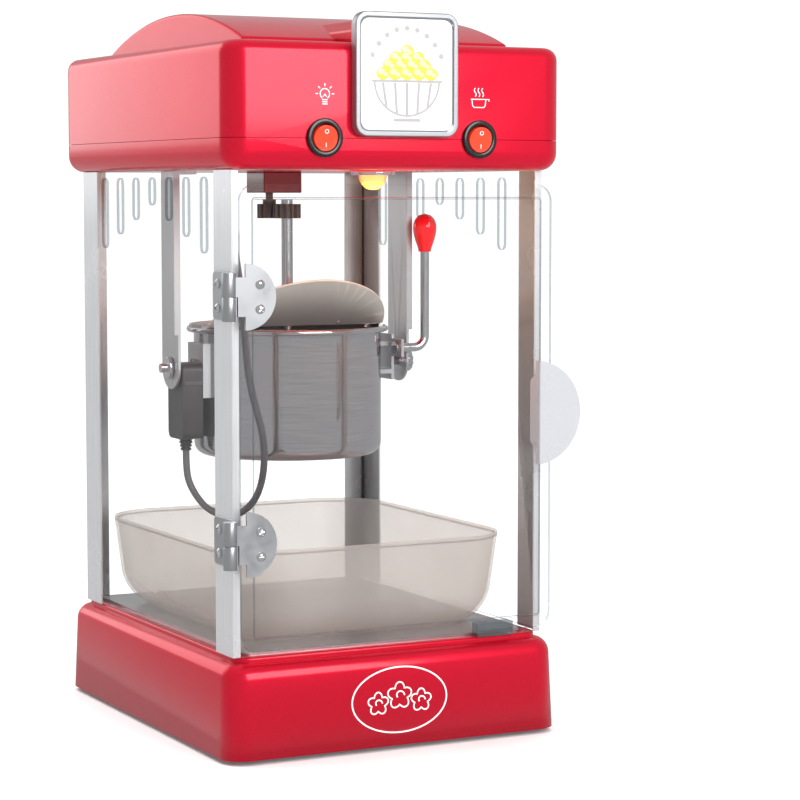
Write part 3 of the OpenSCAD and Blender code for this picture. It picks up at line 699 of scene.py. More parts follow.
def lathe(points: Sequence[tuple[float, float]], steps: int = 64) -> bmesh.types.BMesh:
    """Spins a profile of (radius, height) about Z.

    Args:
        points: The profile. A point at radius 0 lies on the axis.
        steps: Sides in a full turn.

    Returns:
        The spun mesh.
    """
    bm = bmesh.new()
    verts = [bm.verts.new((r, 0.0, z)) for r, z in points]
    edges = [bm.edges.new(pair) for pair in zip(verts, verts[1:])]
    bmesh.ops.spin(
        bm,
        geom=verts + edges,
        cent=(0, 0, 0),
        axis=(0, 0, 1),
        angle=TAU,
        steps=steps,
        use_merge=True,
    )
    bmesh.ops.remove_doubles(bm, verts=bm.verts, dist=1e-4)
    bmesh.ops.recalc_face_normals(bm, faces=bm.faces)
    return bm


def move(
    bm: bmesh.types.BMesh,
    to: Sequence[float] = (0.0, 0.0, 0.0),
    turn: Matrix | None = None,
) -> bmesh.types.BMesh:
    """Turns a mesh about the origin, and then moves it.

    Args:
        bm: The mesh.
        to: Where the origin goes to.
        turn: The turn, or None.

    Returns:
        The same mesh.
    """
    if turn is not None:
        bmesh.ops.transform(bm, matrix=turn, verts=bm.verts)
    bmesh.ops.translate(bm, vec=to, verts=bm.verts)
    return bm


TO_Y = Matrix.Rotation(math.radians(90), 4, "X")


def arc(
    centre: tuple[float, float], radius: float, start: float, end: float, steps: int = 6
) -> list[tuple[float, float]]:
    """Gives points on an arc of a profile, with angles in degrees from the radius's own way."""
    angles = [math.radians(start + (end - start) * i / steps) for i in range(steps + 1)]
    return [(centre[0] + radius * math.cos(a), centre[1] + radius * math.sin(a)) for a in angles]


def make_object(bm: bmesh.types.BMesh, name: str, smooth_deg: float = 40.0) -> bpy.types.Object:
    """Turns a mesh in millimetres from the datum into an object in the row frame.

    Args:
        bm: The mesh, which is freed.
        name: The object's name.
        smooth_deg: Edges that bend more than this stay sharp.

    Returns:
        The object, at the origin and unscaled.
    """
    bmesh.ops.scale(bm, vec=(MM, MM, MM), verts=bm.verts)
    bmesh.ops.translate(bm, vec=ORIGIN, verts=bm.verts)
    mesh = bpy.data.meshes.new(name)
    bm.to_mesh(mesh)
    bm.free()
    mesh.shade_smooth()
    mesh.set_sharp_from_angle(angle=math.radians(smooth_deg))
    obj = bpy.data.objects.new(name, mesh)
    bpy.context.scene.collection.objects.link(obj)
    return obj


def apply_modifiers(obj: bpy.types.Object, smooth_deg: float = 40.0) -> None:
    """Applies an object's modifiers to its mesh.

    Args:
        obj: The object.
        smooth_deg: Edges that bend more than this stay sharp.
    """
    depsgraph = bpy.context.evaluated_depsgraph_get()
    mesh = bpy.data.meshes.new_from_object(obj.evaluated_get(depsgraph))
    obj.modifiers.clear()
    obj.data = mesh
    mesh.shade_smooth()
    mesh.set_sharp_from_angle(angle=math.radians(smooth_deg))


def cut(obj: bpy.types.Object, cutters: Iterable[bmesh.types.BMesh]) -> None:
    """Cuts solids out of an object.

    Args:
        obj: The object.
        cutters: The meshes to cut with.
    """
    tools = []
    for i, bm in enumerate(cutters):
        tool = make_object(bm, f"{obj.name}_cutter_{i}")
        tools.append(tool)
        modifier = obj.modifiers.new(f"cut_{i}", "BOOLEAN")
        modifier.operation = "DIFFERENCE"
        modifier.solver = "EXACT"
        modifier.object = tool
    bpy.context.view_layer.update()
    apply_modifiers(obj)
    for tool in tools:
        bpy.data.objects.remove(tool)


def soften(obj: bpy.types.Object, width_mm: float, segments: int = 2, angle_deg: float = 35.0) -> None:
    """Rounds an object's sharp edges a little, so that they catch the light.

    Args:
        obj: The object.
        width_mm: The width of the rounding.
        segments: How many flats make the round.
        angle_deg: Edges that bend more than this are rounded.
    """
    modifier = obj.modifiers.new("soft_edges", "BEVEL")
    modifier.width = width_mm * MM
    modifier.segments = segments
    modifier.limit_method = "ANGLE"
    modifier.angle_limit = math.radians(angle_deg)
    modifier.harden_normals = True


def thicken(obj: bpy.types.Object, wall_mm: float) -> None:
    """Gives an open shell its wall.

    Args:
        obj: The object.
        wall_mm: The wall's thickness, measured inwards.
    """
    modifier = obj.modifiers.new("wall", "SOLIDIFY")
    modifier.thickness = wall_mm * MM
    modifier.offset = -1.0
    modifier.use_even_offset = True


def dress(obj: bpy.types.Object, finish: Finish) -> None:
    """Gives an object one finish.

    Args:
        obj: The object.
        finish: The finish.
    """
    obj.data.materials.clear()
    obj.data.materials.append(finish.material())


def piece(
    bm: bmesh.types.BMesh,
    name: str,
    body: Body,
    finish: Finish,
    stands_for: Sequence[str] = (),
    soft_mm: float = 0.0,
    smooth_deg: float = 40.0,
) -> bpy.types.Object:
    """Makes a finished piece that rides on a body.

    Args:
        bm: The mesh in millimetres from the datum.
        name: The piece's name.
        body: The body that it rides on.
        finish: Its finish.
        stands_for: The CAD nodes that it replaces.
        soft_mm: The radius of its softened edges, or 0.
        smooth_deg: Edges that bend more than this stay sharp.

    Returns:
        The piece.
    """
    obj = make_object(bm, name, smooth_deg)
    if soft_mm > 0.0:
        soften(obj, soft_mm)
    dress(obj, finish)
    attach(obj, body.value)
    if stands_for:
        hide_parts(*stands_for)
    LOG.info("made %s", name)
    return obj


def dress_nodes(finish: Finish, *nodes: str, soft_mm: float = 0.0) -> None:
    """Gives CAD nodes a finish, and softens their edges if asked.

    Args:
        finish: The finish.
        *nodes: The nodes' names.
        soft_mm: The radius of the softened edges, or 0.
    """
    for name in nodes:
        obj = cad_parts[name]
        for slot in obj.material_slots:
            slot.material = finish.material()
        if soft_mm > 0.0:
            weld = obj.modifiers.new("weld", "WELD")
            weld.merge_threshold = 0.002 * MM
            soften(obj, soft_mm)
        LOG.info("dressed %s", name)


def join(parts: Sequence[bmesh.types.BMesh]) -> bmesh.types.BMesh:
    """Puts several meshes into one.

    Args:
        parts: The meshes, which are used up.

    Returns:
        The first mesh, with the others in it.
    """
    whole = parts[0]
    for part in parts[1:]:
        mesh = bpy.data.meshes.new("part")
        part.to_mesh(mesh)
        part.free()
        whole.from_mesh(mesh)
        bpy.data.meshes.remove(mesh)
    return whole


def rod(
    start: Sequence[float], end: Sequence[float], radius: float, sides: int = 24
) -> bmesh.types.BMesh:
    """Makes a round rod between two points.

    Args:
        start: The first end.
        end: The other end.
        radius: The radius in millimetres.
        sides: How many flats make the round.

    Returns:
        The rod's mesh.
    """
    a, b = Vector(start), Vector(end)
    bm = bmesh.new()
    bmesh.ops.create_cone(
        bm,
        cap_ends=True,
        segments=sides,
        radius1=radius,
        radius2=radius,
        depth=(b - a).length,
    )
    turn = (b - a).to_track_quat("Z", "Y").to_matrix().to_4x4()
    return move(bm, (a + b) / 2, turn)


def tube(
    points: Sequence[Sequence[float]], radius: float, sides: int = 12, closed: bool = False
) -> bmesh.types.BMesh:
    """Sweeps a round section along points, with rounded joins.

    Args:
        points: The centreline in millimetres.
        radius: The tube's radius.
        sides: Sides of the section.
        closed: Joins the last point to the first.

    Returns:
        The tube's mesh.
    """
    curve = bpy.data.curves.new("tube", "CURVE")
    curve.dimensions = "3D"
    curve.bevel_depth = radius
    curve.bevel_resolution = max(1, sides // 4 - 1)
    curve.use_fill_caps = True
    spline = curve.splines.new("POLY")
    spline.points.add(len(points) - 1)
    for target, source in zip(spline.points, points):
        target.co = (*source, 1.0)
    spline.use_cyclic_u = closed
    obj = bpy.data.objects.new("tube", curve)
    bpy.context.scene.collection.objects.link(obj)
    bpy.context.view_layer.update()
    depsgraph = bpy.context.evaluated_depsgraph_get()
    mesh = bpy.data.meshes.new_from_object(obj.evaluated_get(depsgraph))
    bpy.data.objects.remove(obj)
    bpy.data.curves.remove(curve)
    bm = bmesh.new()
    bm.from_mesh(mesh)
    bpy.data.meshes.remove(mesh)
    bmesh.ops.remove_doubles(bm, verts=bm.verts, dist=1e-4)
    bmesh.ops.recalc_face_normals(bm, faces=bm.faces)
    return bm


# ---------------------------------------------------------------- sub-assemblies


@dataclass
class Base:
    """The red base with its raised deck, floor sheet, cover and feet. Sizes in millimetres."""

    top_round: float = 10.0
    corner_round: float = 15.5
    lean: float = 2.0
    side_height: float = 58.5
    wall: float = 2.5
    deck_inset: float = 10.0
    emblem_height: float = 28.6
    emblem_half_width: float = 33.0
    emblem_half_height: float = 20.5

    def build(self) -> None:
        """Builds the base's pieces."""
        self.shell()
        self.deck()
        self.emblem()
        dress_nodes(SHEET_STEEL, "floor_sheet", soft_mm=0.3)
        dress_nodes(DARK_STEEL, "bottom_cover")
        dress_nodes(RUBBER, "feet", soft_mm=0.4)
        dress_nodes(NICKEL, "foot_screws")

    def shell(self) -> None:
        """Builds the moulded shell, with leaning walls and a round top edge."""
        low, high = mm_box("base_shell")
        bm = block((low.x, low.y, 0.0), (high.x, high.y, self.side_height))
        top = {v for f in faces_at(bm, 2, self.side_height) for v in f.verts}
        span = high - low
        shrink = Vector(((span.x - 2 * self.lean) / span.x, (span.y - 2 * self.lean) / span.y, 1.0))
        bmesh.ops.scale(bm, vec=shrink, verts=list(top))
        uprights = [e for e in bm.edges if abs(e.verts[0].co.z - e.verts[1].co.z) > 1.0]
        round_edges(bm, uprights, self.corner_round, 8)
        round_edges(bm, edges_at(bm, 2, self.side_height), self.top_round, 7)
        bmesh.ops.delete(bm, geom=faces_at(bm, 2, 0.0), context="FACES")
        shell = piece(bm, "base_skin", Body.CABINET, RED_PAINT, ["base_shell"])
        thicken(shell, self.wall)

    def deck(self) -> None:
        """Builds the raised deck that the cabin stands on."""
        low, high = mm_box("base_shell")
        inset = Vector((self.deck_inset, self.deck_inset, 0.0))
        bottom = Vector((low.x, low.y, self.side_height - 1.0))
        bm = block(bottom + inset, high - inset)
        round_edges(bm, edges_along(bm, 2), self.corner_round - 4, 8)
        round_edges(bm, edges_at(bm, 2, high.z), 1.5, 4)
        piece(bm, "base_deck", Body.CABINET, RED_PAINT)

    def emblem(self) -> None:
        """Prints an oval with three popped kernels on the front."""
        low, _ = mm_box("base_shell")
        flat = Print(low.y, self.emblem_height, math.degrees(math.atan2(self.lean, self.side_height)))
        parts = [flat.ring(0.0, 0.0, self.emblem_half_width, self.emblem_half_height, 0.55)]
        for x, z, size in ((-15.0, -1.5, 6.4), (0.0, 2.5, 7.6), (15.0, -1.5, 6.4)):
            parts += flat.kernel(x, z, size)
        piece(join(parts), "base_emblem", Body.CABINET, WHITE_INK)


@dataclass
class Print:
    """Thin printed line work on a front face at y, about a height z."""

    y: float
    z: float
    lean_deg: float = 0.0
    line: float = 0.5
    proud: float = 0.12

    def lay(self, bm: bmesh.types.BMesh) -> bmesh.types.BMesh:
        """Lays line work drawn in X and Z about the origin onto the face.

        Args:
            bm: The mesh.

        Returns:
            The same mesh.
        """
        for vert in bm.verts:
            vert.co.y *= 0.35
        turn = Matrix.Rotation(-math.radians(self.lean_deg), 4, "X")
        lean = math.tan(math.radians(self.lean_deg)) * self.z
        return move(bm, (0.0, self.y + lean, self.z), turn)

    def line_through(
        self, points: Sequence[tuple[float, float]], closed: bool = False, width: float = 0.0
    ) -> bmesh.types.BMesh:
        """Draws a line through points in X and Z."""
        return self.lay(tube([(x, 0.0, z) for x, z in points], (width or self.line), 8, closed))

    def ring(
        self, x: float, z: float, half_w: float, half_h: float, width: float = 0.0
    ) -> bmesh.types.BMesh:
        """Draws an oval.

        Args:
            x: The middle's X.
            z: The middle's Z.
            half_w: Half of the width.
            half_h: Half of the height.
            width: The line's width, or 0 for the usual one.

        Returns:
            The line's mesh.
        """
        turns = [TAU * i / 64 for i in range(64)]
        points = [(x + half_w * math.cos(a), z + half_h * math.sin(a)) for a in turns]
        return self.line_through(points, True, width)

    def kernel(self, x: float, z: float, size: float) -> list[bmesh.types.BMesh]:
        """Draws one popped kernel: a lobed outline with a small curl inside.

        Args:
            x: The middle's X.
            z: The middle's Z.
            size: The size in millimetres.

        Returns:
            The lines' meshes.
        """
        lobes = []
        for i in range(60):
            a = TAU * i / 60
            reach = size * (0.72 + 0.4 * abs(math.cos(2.5 * a)))
            lobes.append((x + reach * math.cos(a + 0.3), z + reach * math.sin(a + 0.3)))
        curl = []
        for i in range(16):
            reach = size * 0.45 * (1 - i / 30)
            curl.append((x + reach * math.cos(i / 4), z + reach * math.sin(i / 4)))
        return [self.line_through(lobes, True), self.line_through(curl)]

    def disc(self, x: float, z: float, half_w: float, half_h: float) -> bmesh.types.BMesh:
        """Prints a filled oval.

        Args:
            x: The middle's X.
            z: The middle's Z.
            half_w: Half of the width.
            half_h: Half of the height.

        Returns:
            The oval's mesh.
        """
        bm = bmesh.new()
        bmesh.ops.create_uvsphere(bm, u_segments=24, v_segments=8, radius=1.0)
        bmesh.ops.scale(bm, vec=(half_w, self.proud / 0.35, half_h), verts=bm.verts)
        bmesh.ops.translate(bm, vec=(x, 0.0, z), verts=bm.verts)
        return self.lay(bm)


@dataclass
class Canopy:
    """The red canopy: lower tray, upper shell, vaulted roof and hood. Sizes in millimetres."""

    corner_round: float = 15.5
    lower_round: float = 11.0
    upper_round: float = 8.0
    wall: float = 2.5
    seam_gap: float = 0.3
    upper_height: float = 58.0
    vault_width: float = 184.0
    vault_depth: float = 224.0
    vault_rise: float = 20.0
    vault_step: float = 3.0
    hood_width: float = 56.0
    hood_drop: float = 8.5
    hood_chamfer: float = 7.0
    switch_offset: float = 53.0
    switch_hole: float = 10.2

    def build(self) -> None:
        """Builds the canopy's pieces."""
        self.lower()
        self.upper()
        self.vault()
        self.hood()
        self.icons()

    def hole_cutters(self) -> list[bmesh.types.BMesh]:
        """Makes the cutters for the two switch holes.

        Returns:
            The cutters' meshes.
        """
        front = mm_box("canopy_lower")[0].y
        z = centre("switch_lamp").z
        return [
            rod((x, front - 5, z), (x, front + 12, z), self.switch_hole, 48)
            for x in (-self.switch_offset, self.switch_offset)
        ]

    def lower(self) -> None:
        """Builds the lower tray with its round bottom edge."""
        low, high = mm_box("canopy_lower")
        bm = block(low, high)
        round_edges(bm, edges_along(bm, 2), self.corner_round, 8)
        round_edges(bm, edges_at(bm, 2, low.z), self.lower_round, 7)
        bmesh.ops.delete(bm, geom=faces_at(bm, 2, high.z), context="FACES")
        tray = piece(bm, "canopy_lower_skin", Body.CABINET, RED_PAINT, ["canopy_lower"])
        thicken(tray, self.wall)
        cut(tray, self.hole_cutters())

    def upper(self) -> None:
        """Builds the upper shell with its round top edge."""
        low, high = mm_box("canopy_lower")
        seam = high.z + self.seam_gap
        roof = seam + self.upper_height
        bm = block((low.x, low.y, seam), (high.x, high.y, roof))
        round_edges(bm, edges_along(bm, 2), self.corner_round, 8)
        round_edges(bm, edges_at(bm, 2, roof), self.upper_round, 6)
        bmesh.ops.delete(bm, geom=faces_at(bm, 2, seam), context="FACES")
        shell = piece(bm, "canopy_upper_skin", Body.CABINET, RED_PAINT, ["canopy_upper"])
        thicken(shell, self.wall)
        cut(shell, self.hole_cutters())

    def vault(self) -> None:
        """Builds the barrel vault on the roof."""
        roof = mm_box("canopy_lower")[1].z + self.seam_gap + self.upper_height
        half_d = self.vault_depth / 2
        radius = (half_d**2 + self.vault_rise**2) / (2 * self.vault_rise)
        crest = roof + self.vault_step + self.vault_rise
        bm = block((-self.vault_width / 2, -half_d, roof - 1.0), (self.vault_width / 2, half_d, crest))
        bmesh.ops.subdivide_edges(bm, edges=edges_along(bm, 1), cuts=47, use_grid_fill=True)
        for vert in bm.verts:
            if vert.co.z > roof:
                vert.co.z = crest - radius + math.sqrt(radius**2 - vert.co.y**2)
        obj = piece(bm, "vault_skin", Body.CABINET, RED_PAINT, ["canopy_vault"], 0.0, 30.0)
        soften(obj, 2.4, 4, 40.0)
        obj.modifiers["soft_edges"].use_clamp_overlap = False

    def hood(self) -> None:
        """Builds the hood that backs the sign and runs into the vault."""
        low, _ = mm_box("canopy_lower")
        _, high = mm_box("canopy_vault")
        back = -self.vault_depth / 4 + 1
        top = high.z - self.hood_drop
        bm = block((-self.hood_width / 2, low.y, high.z - 40.0), (self.hood_width / 2, back, top))
        tops = edges_at(bm, 2, top)
        sides = [e for e in tops if abs(e.verts[0].co.x - e.verts[1].co.x) < 1e-3]
        round_edges(bm, sides, self.hood_chamfer, 1)
        piece(bm, "hood_skin", Body.CABINET, RED_PAINT, ["canopy_hood"], 1.2, 30.0)

    def icons(self) -> None:
        """Prints a lamp sign and a kettle sign above the two switches."""
        low, high = mm_box("canopy_lower")
        pen = Print(low.y, high.z + 25.0, 0.0, 0.33)
        x = -self.switch_offset + 0.5
        globe = [
            (x + 3.1 * math.cos(a), 1.6 + 3.1 * math.sin(a))
            for a in [math.radians(-55 + 290 * i / 24) for i in range(25)]
        ]
        parts = [pen.line_through(globe), pen.line_through([(x - 1.2, -0.2), (x, 1.4), (x + 1.2, -0.2)])]
        parts += [pen.line_through([(x - 1.7, -1.9 - d), (x + 1.7, -1.9 - d)]) for d in (0.0, 1.3, 2.6)]
        for a in (0, 45, 90, 135, 180):
            c, s = math.cos(math.radians(a)), math.sin(math.radians(a))
            parts.append(pen.line_through([(x + 4.6 * c, 1.6 + 4.6 * s), (x + 6.2 * c, 1.6 + 6.2 * s)]))
        x = self.switch_offset
        pot = ((-5, 0), (-4.4, -4), (-3.4, -5), (3.4, -5), (4.4, -4), (5, 0))
        parts.append(pen.line_through([(x + dx, dz) for dx, dz in pot]))
        parts.append(pen.line_through([(x - 5.6, 0), (x + 7.2, 0), (x + 7.2, -1.2)]))
        for dx in (-2.6, 0.0, 2.6):
            wave = [(x + dx + 0.7 * math.sin(i * 0.9), 1.6 + i * 0.75) for i in range(8)]
            parts.append(pen.line_through(wave))
        piece(join(parts), "switch_icons", Body.CABINET, WHITE_INK)


@dataclass
class Sign:
    """The sign on the canopy: a silver frame round a white plate with a printed bowl of popped corn."""

    border: float = 3.4
    corner: float = 8.0
    sunk: float = 1.6

    def build(self) -> None:
        """Builds the sign's pieces."""
        self.rim()
        self.plate()
        self.picture()

    def rim(self) -> None:
        """Builds the frame, with its face sunk inside the border."""
        low, high = mm_box("sign_frame")
        bm = block(low, high)
        round_edges(bm, edges_along(bm, 1), self.corner, 8)
        face = faces_at(bm, 1, low.y)
        bmesh.ops.inset_region(bm, faces=face, thickness=self.border, depth=0.0, use_even_offset=True)
        face = [f for f in faces_at(bm, 1, low.y) if f.calc_area() > 2000]
        bmesh.ops.inset_region(bm, faces=face, thickness=0.3, depth=-self.sunk, use_even_offset=True)
        piece(bm, "sign_rim", Body.CABINET, FRAME_ALUMINIUM, ["sign_frame"], 0.9, 30.0)

    def plate(self) -> None:
        """Builds the white plate inside the border."""
        low, high = mm_box("sign_plate")
        bm = block((low.x + 0.4, low.y, low.z + 0.4), (high.x - 0.4, low.y + 1.2, high.z - 0.4))
        round_edges(bm, edges_along(bm, 1), self.corner - self.border / 2, 8)
        piece(bm, "sign_face", Body.CABINET, SIGN_WHITE, ["sign_plate"], 0.4, 30.0)

    def picture(self) -> None:
        """Prints a round bowl heaped with popped corn, and a row of dots in an arc above it."""
        low, high = mm_box("sign_plate")
        middle = (low.z + high.z) / 2
        pen = Print(low.y, middle, 0.0, 0.42)
        turns = [math.pi * i / 40 for i in range(41)]
        bowl = [(-22 * math.cos(a), -4 - 22 * math.sin(a) * 0.95) for a in turns]
        lines = [
            pen.line_through(bowl, False, 0.8),
            pen.line_through([(-24, -4), (24, -4)], False, 0.9),
            pen.line_through([(-9, -27.5), (9, -27.5)], False, 1.1),
        ]
        for i in range(-2, 3):
            drop = 22 * 0.95 * math.sqrt(1 - (i * 7 / 22) ** 2)
            lines.append(pen.line_through([(i * 8.2, -5), (i * 7, -3.4 - drop)], False, 1.0))
        for i in range(9):
            a = math.radians(150 - 15 * i)
            lines.append(pen.disc(33 * math.cos(a) * 0.82, -5 + 33 * math.sin(a), 1.7, 1.7))
        piece(join(lines), "sign_line_work", Body.CABINET, GREY_INK)
        yellow, pale = [], []
        rows = ((0.5, 5, 8.2), (5.6, 4, 8.0), (10.2, 3, 7.6), (14.2, 1, 7.6))
        for z, count, gap in rows:
            for i in range(count):
                x = (i - (count - 1) / 2) * gap
                yellow.append(pen.disc(x, z, 4.6, 3.9))
                pale.append(pen.disc(x - 1.2, z + 1.1, 2.4, 1.9))
                pale.append(pen.disc(x + 1.9, z - 0.6, 1.5, 1.3))
        for bm in pale:
            bmesh.ops.translate(bm, vec=(0.0, -0.12, 0.0), verts=bm.verts)
        piece(join(yellow), "sign_corn", Body.CABINET, YELLOW_INK)
        piece(join(pale), "sign_corn_lights", Body.CABINET, PALE_INK)


@dataclass
class Switches:
    """The two round rocker switches."""

    bezel_round: float = 0.9
    hole: float = 8.3
    pivot: float = 1.2
    crest: float = 1.6
    rocker_radius: float = 7.8
    tilt_deg: float = 8.0
    mark_at: float = 4.1

    def build(self) -> None:
        """Builds both switches."""
        for name, body in (("lamp", Body.ROCKER_LAMP), ("kettle", Body.ROCKER_KETTLE)):
            self.bezel(name)
            self.rocker(name, body)

    def bezel(self, name: str) -> None:
        """Builds a bezel with a rolled lip, and the body behind it.

        Args:
            name: The switch, lamp or kettle.
        """
        low, high = mm_box(f"switch_{name}")
        middle = (low + high) / 2
        outer = (high.x - low.x) / 2
        t = 2.5
        profile = [(0.0, -18.0), (outer - 2.2, -18.0), (outer - 2.0, 0.0)]
        profile += [(outer, 0.0), (outer, t - 1.0)]
        profile += arc((outer - 1.0, t - 1.0), 1.0, 0, 90, 4)
        profile += arc((self.hole + 0.9, t - 0.9), 0.9, 90, 180, 4)
        profile += [(self.hole, -5.6), (0.0, -5.6)]
        bm = lathe(profile, 64)
        move(bm, (middle.x, mm_box("canopy_lower")[0].y, middle.z), TO_Y)
        node = f"switch_{name}"
        piece(bm, f"bezel_{name}", Body.CABINET, BLACK_NYLON, [node])

    def rocker(self, name: str, body: Body) -> None:
        """Builds a round rocker with a shallow V face and its two marks.

        Args:
            name: The switch, lamp or kettle.
            body: The body that it rides on.
        """
        node = f"rocker_{name}"
        front = mm_box("canopy_lower")[0].y
        pivot = Vector((centre(node).x, front - self.pivot, centre(f"switch_{name}").z))
        tilt = math.radians(self.tilt_deg)
        slope = math.tan(tilt)
        turn = Matrix.Rotation(tilt, 4, "X")
        bm = rod((0.0, self.crest, 0.0), (0.0, -self.crest, 0.0), self.rocker_radius, 48)
        geom = bm.verts[:] + bm.edges[:] + bm.faces[:]
        bmesh.ops.bisect_plane(bm, geom=geom, plane_co=(0, 0, 0), plane_no=(0, 0, 1))
        for vert in bm.verts:
            if vert.co.y < 0:
                vert.co.y -= abs(vert.co.z) * slope
        piece(move(bm, pivot, turn), f"{node}_cap", body, ROCKER_RED, [node], 0.5, 25.0)
        face = -self.crest - self.mark_at * slope
        turns = [TAU * i / 20 for i in range(20)]
        ring = [(1.15 * math.cos(a), face - 0.02, self.mark_at + 1.15 * math.sin(a)) for a in turns]
        bar = [(0, face - 0.1, -self.mark_at - 1.3), (0, face + 0.06, -self.mark_at + 1.3)]
        marks = join([tube(bar, 0.24, 8), tube(ring, 0.22, 8, True)])
        piece(move(marks, pivot, turn), f"{node}_marks", body, WHITE_INK)


@dataclass
class Cabin:
    """Posts, clear panels and the floor stop."""

    def build(self) -> None:
        """Dresses the cabin's nodes."""
        posts = ["post_front_left", "post_front_right", "post_rear_left", "post_rear_right"]
        dress_nodes(POST_ALUMINIUM, *posts, soft_mm=0.35)
        dress_nodes(SIDE_ACRYLIC, "panel_left", "panel_right")
        dress_nodes(REAR_ACRYLIC, "panel_rear")
        dress_nodes(ACRYLIC_EDGE, "door_stop", soft_mm=0.6)


@dataclass
class Door:
    """The clear door with its rib, handle, hinges and screws."""

    corner: float = 10.0
    rib_inset: float = 7.5
    rib_width: float = 1.5
    rib_height: float = 1.2
    tip_round: float = 9.0
    grip_thickness: float = 5.0
    screw_head: float = 2.8
    screw_rise: float = 1.8
    screw_pitch: float = 14.8

    def build(self) -> None:
        """Builds the door's pieces."""
        self.sheet()
        self.handle()
        self.hinges()

    def sheet(self) -> None:
        """Builds the sheet with a raised rib inside its edge."""
        low, high = mm_box("door_panel")
        front = low.y + self.rib_height
        bm = block((low.x, front, low.z), (high.x, high.y, high.z))
        round_edges(bm, edges_along(bm, 1), self.corner, 8)
        third = self.rib_width / 3
        rise = self.rib_height
        for wide, deep in ((self.rib_inset, 0.0), (third, rise), (third, 0.0), (third, -rise)):
            front_faces = (f for f in bm.faces if abs(f.normal.y + 1) < 1e-3)
            face = max(front_faces, key=lambda f: f.calc_area())
            bmesh.ops.inset_region(
                bm, faces=[face], thickness=wide, depth=deep, use_even_offset=True
            )
        obj = piece(bm, "door_sheet", Body.DOOR, ACRYLIC, ["door_panel"], 0.5, 30.0)
        obj.data.materials.append(ACRYLIC_EDGE.material())
        for face in obj.data.polygons:
            if abs(face.normal.y) < 0.7:
                face.material_index = 1

    def handle(self) -> None:
        """Builds the half-moon grip on its stem."""
        low, high = mm_box("door_handle")
        front = mm_box("door_panel")[0].y + self.rib_height
        z = (low.z + high.z) / 2
        radius = (high.z - low.z) * 0.55
        bm = bmesh.new()
        bmesh.ops.create_circle(bm, cap_ends=True, segments=128, radius=radius)
        move(bm, (high.x - radius, low.y, z), TO_Y)
        geom = bm.verts[:] + bm.edges[:] + bm.faces[:]
        bmesh.ops.bisect_plane(
            bm, geom=geom, plane_co=(low.x, 0, 0), plane_no=(1, 0, 0), clear_inner=True
        )
        straight = (v for v in bm.verts if abs(v.co.x - low.x) < 1e-3)
        tips = sorted(straight, key=lambda v: v.co.z)
        bmesh.ops.bevel(
            bm,
            geom=[tips[0], tips[-1]],
            offset=self.tip_round,
            segments=8,
            profile=0.5,
            affect="VERTICES",
            material=-1,
        )
        grown = bmesh.ops.extrude_face_region(bm, geom=bm.faces[:])
        moved = [v for v in grown["geom"] if isinstance(v, bmesh.types.BMVert)]
        bmesh.ops.translate(bm, vec=(0, self.grip_thickness, 0), verts=moved)
        bmesh.ops.recalc_face_normals(bm, faces=bm.faces)
        grip = piece(bm, "handle_grip", Body.DOOR, SILVER_ABS, ["door_handle"])
        soften(grip, 1.6, 4)
        stem = block((low.x + 1, low.y + 4.8, z - 22.8), (low.x + 16, front, z + 22.8))
        round_edges(stem, edges_along(stem, 1), 5.0, 6)
        piece(stem, "handle_stem", Body.DOOR, SILVER_ABS, (), 0.4)

    def hinges(self) -> None:
        """Dresses the hinge leaves and makes their screws."""
        leaves = [f"hinge_{side}_{place}" for side in ("post", "door") for place in ("upper", "lower")]
        dress_nodes(SATIN_NICKEL, *leaves, soft_mm=0.25)
        dress_nodes(CHROME, "hinge_pins")
        self.screws("hinge_screws_door", Body.DOOR, (0.0, -1.0, 0.0))
        self.screws("hinge_screws_post", Body.CABINET, (-1.0, 0.0, 0.0))

    def screws(self, node: str, body: Body, out: Sequence[float]) -> None:
        """Makes pan-head screws with a cross recess, in place of a CAD node's plain ones.

        Args:
            node: The CAD node that the pieces replace.
            body: The body that it rides on.
            out: The way that the heads face.
        """
        low, high = mm_box(node)
        away = Vector(out)
        turn = away.to_track_quat("Z", "Y").to_matrix().to_4x4()
        seat = (low + high) / 2
        for axis in (0, 1):
            if abs(away[axis]) > 0.5:
                seat[axis] = low[axis] + self.screw_rise
        bottom, top = low.z + self.screw_head, high.z - self.screw_head
        for i, z in enumerate((bottom, bottom + self.screw_pitch, top - self.screw_pitch, top)):
            seat.z = z
            dome = [(self.screw_head, 0.0), (self.screw_head, 0.5)] + arc((0.0, -1.6), 3.6, 36, 90, 6)
            head = move(lathe([(0.0, 0.0)] + dome, 40), seat, turn)
            stands_for = [node] if i == 0 else []
            obj = piece(head, f"{node}_head_{i}", body, CHROME, stands_for, 0.0, 35.0)
            slots = []
            for quarter in (0, 90):
                slot = block((-1.9, -0.32, 0.9), (1.9, 0.32, 3.0))
                move(slot, (0, 0, 0), Matrix.Rotation(math.radians(quarter + 25 * i), 4, "Z"))
                slots.append(move(slot, seat, turn))
            cut(obj, slots)


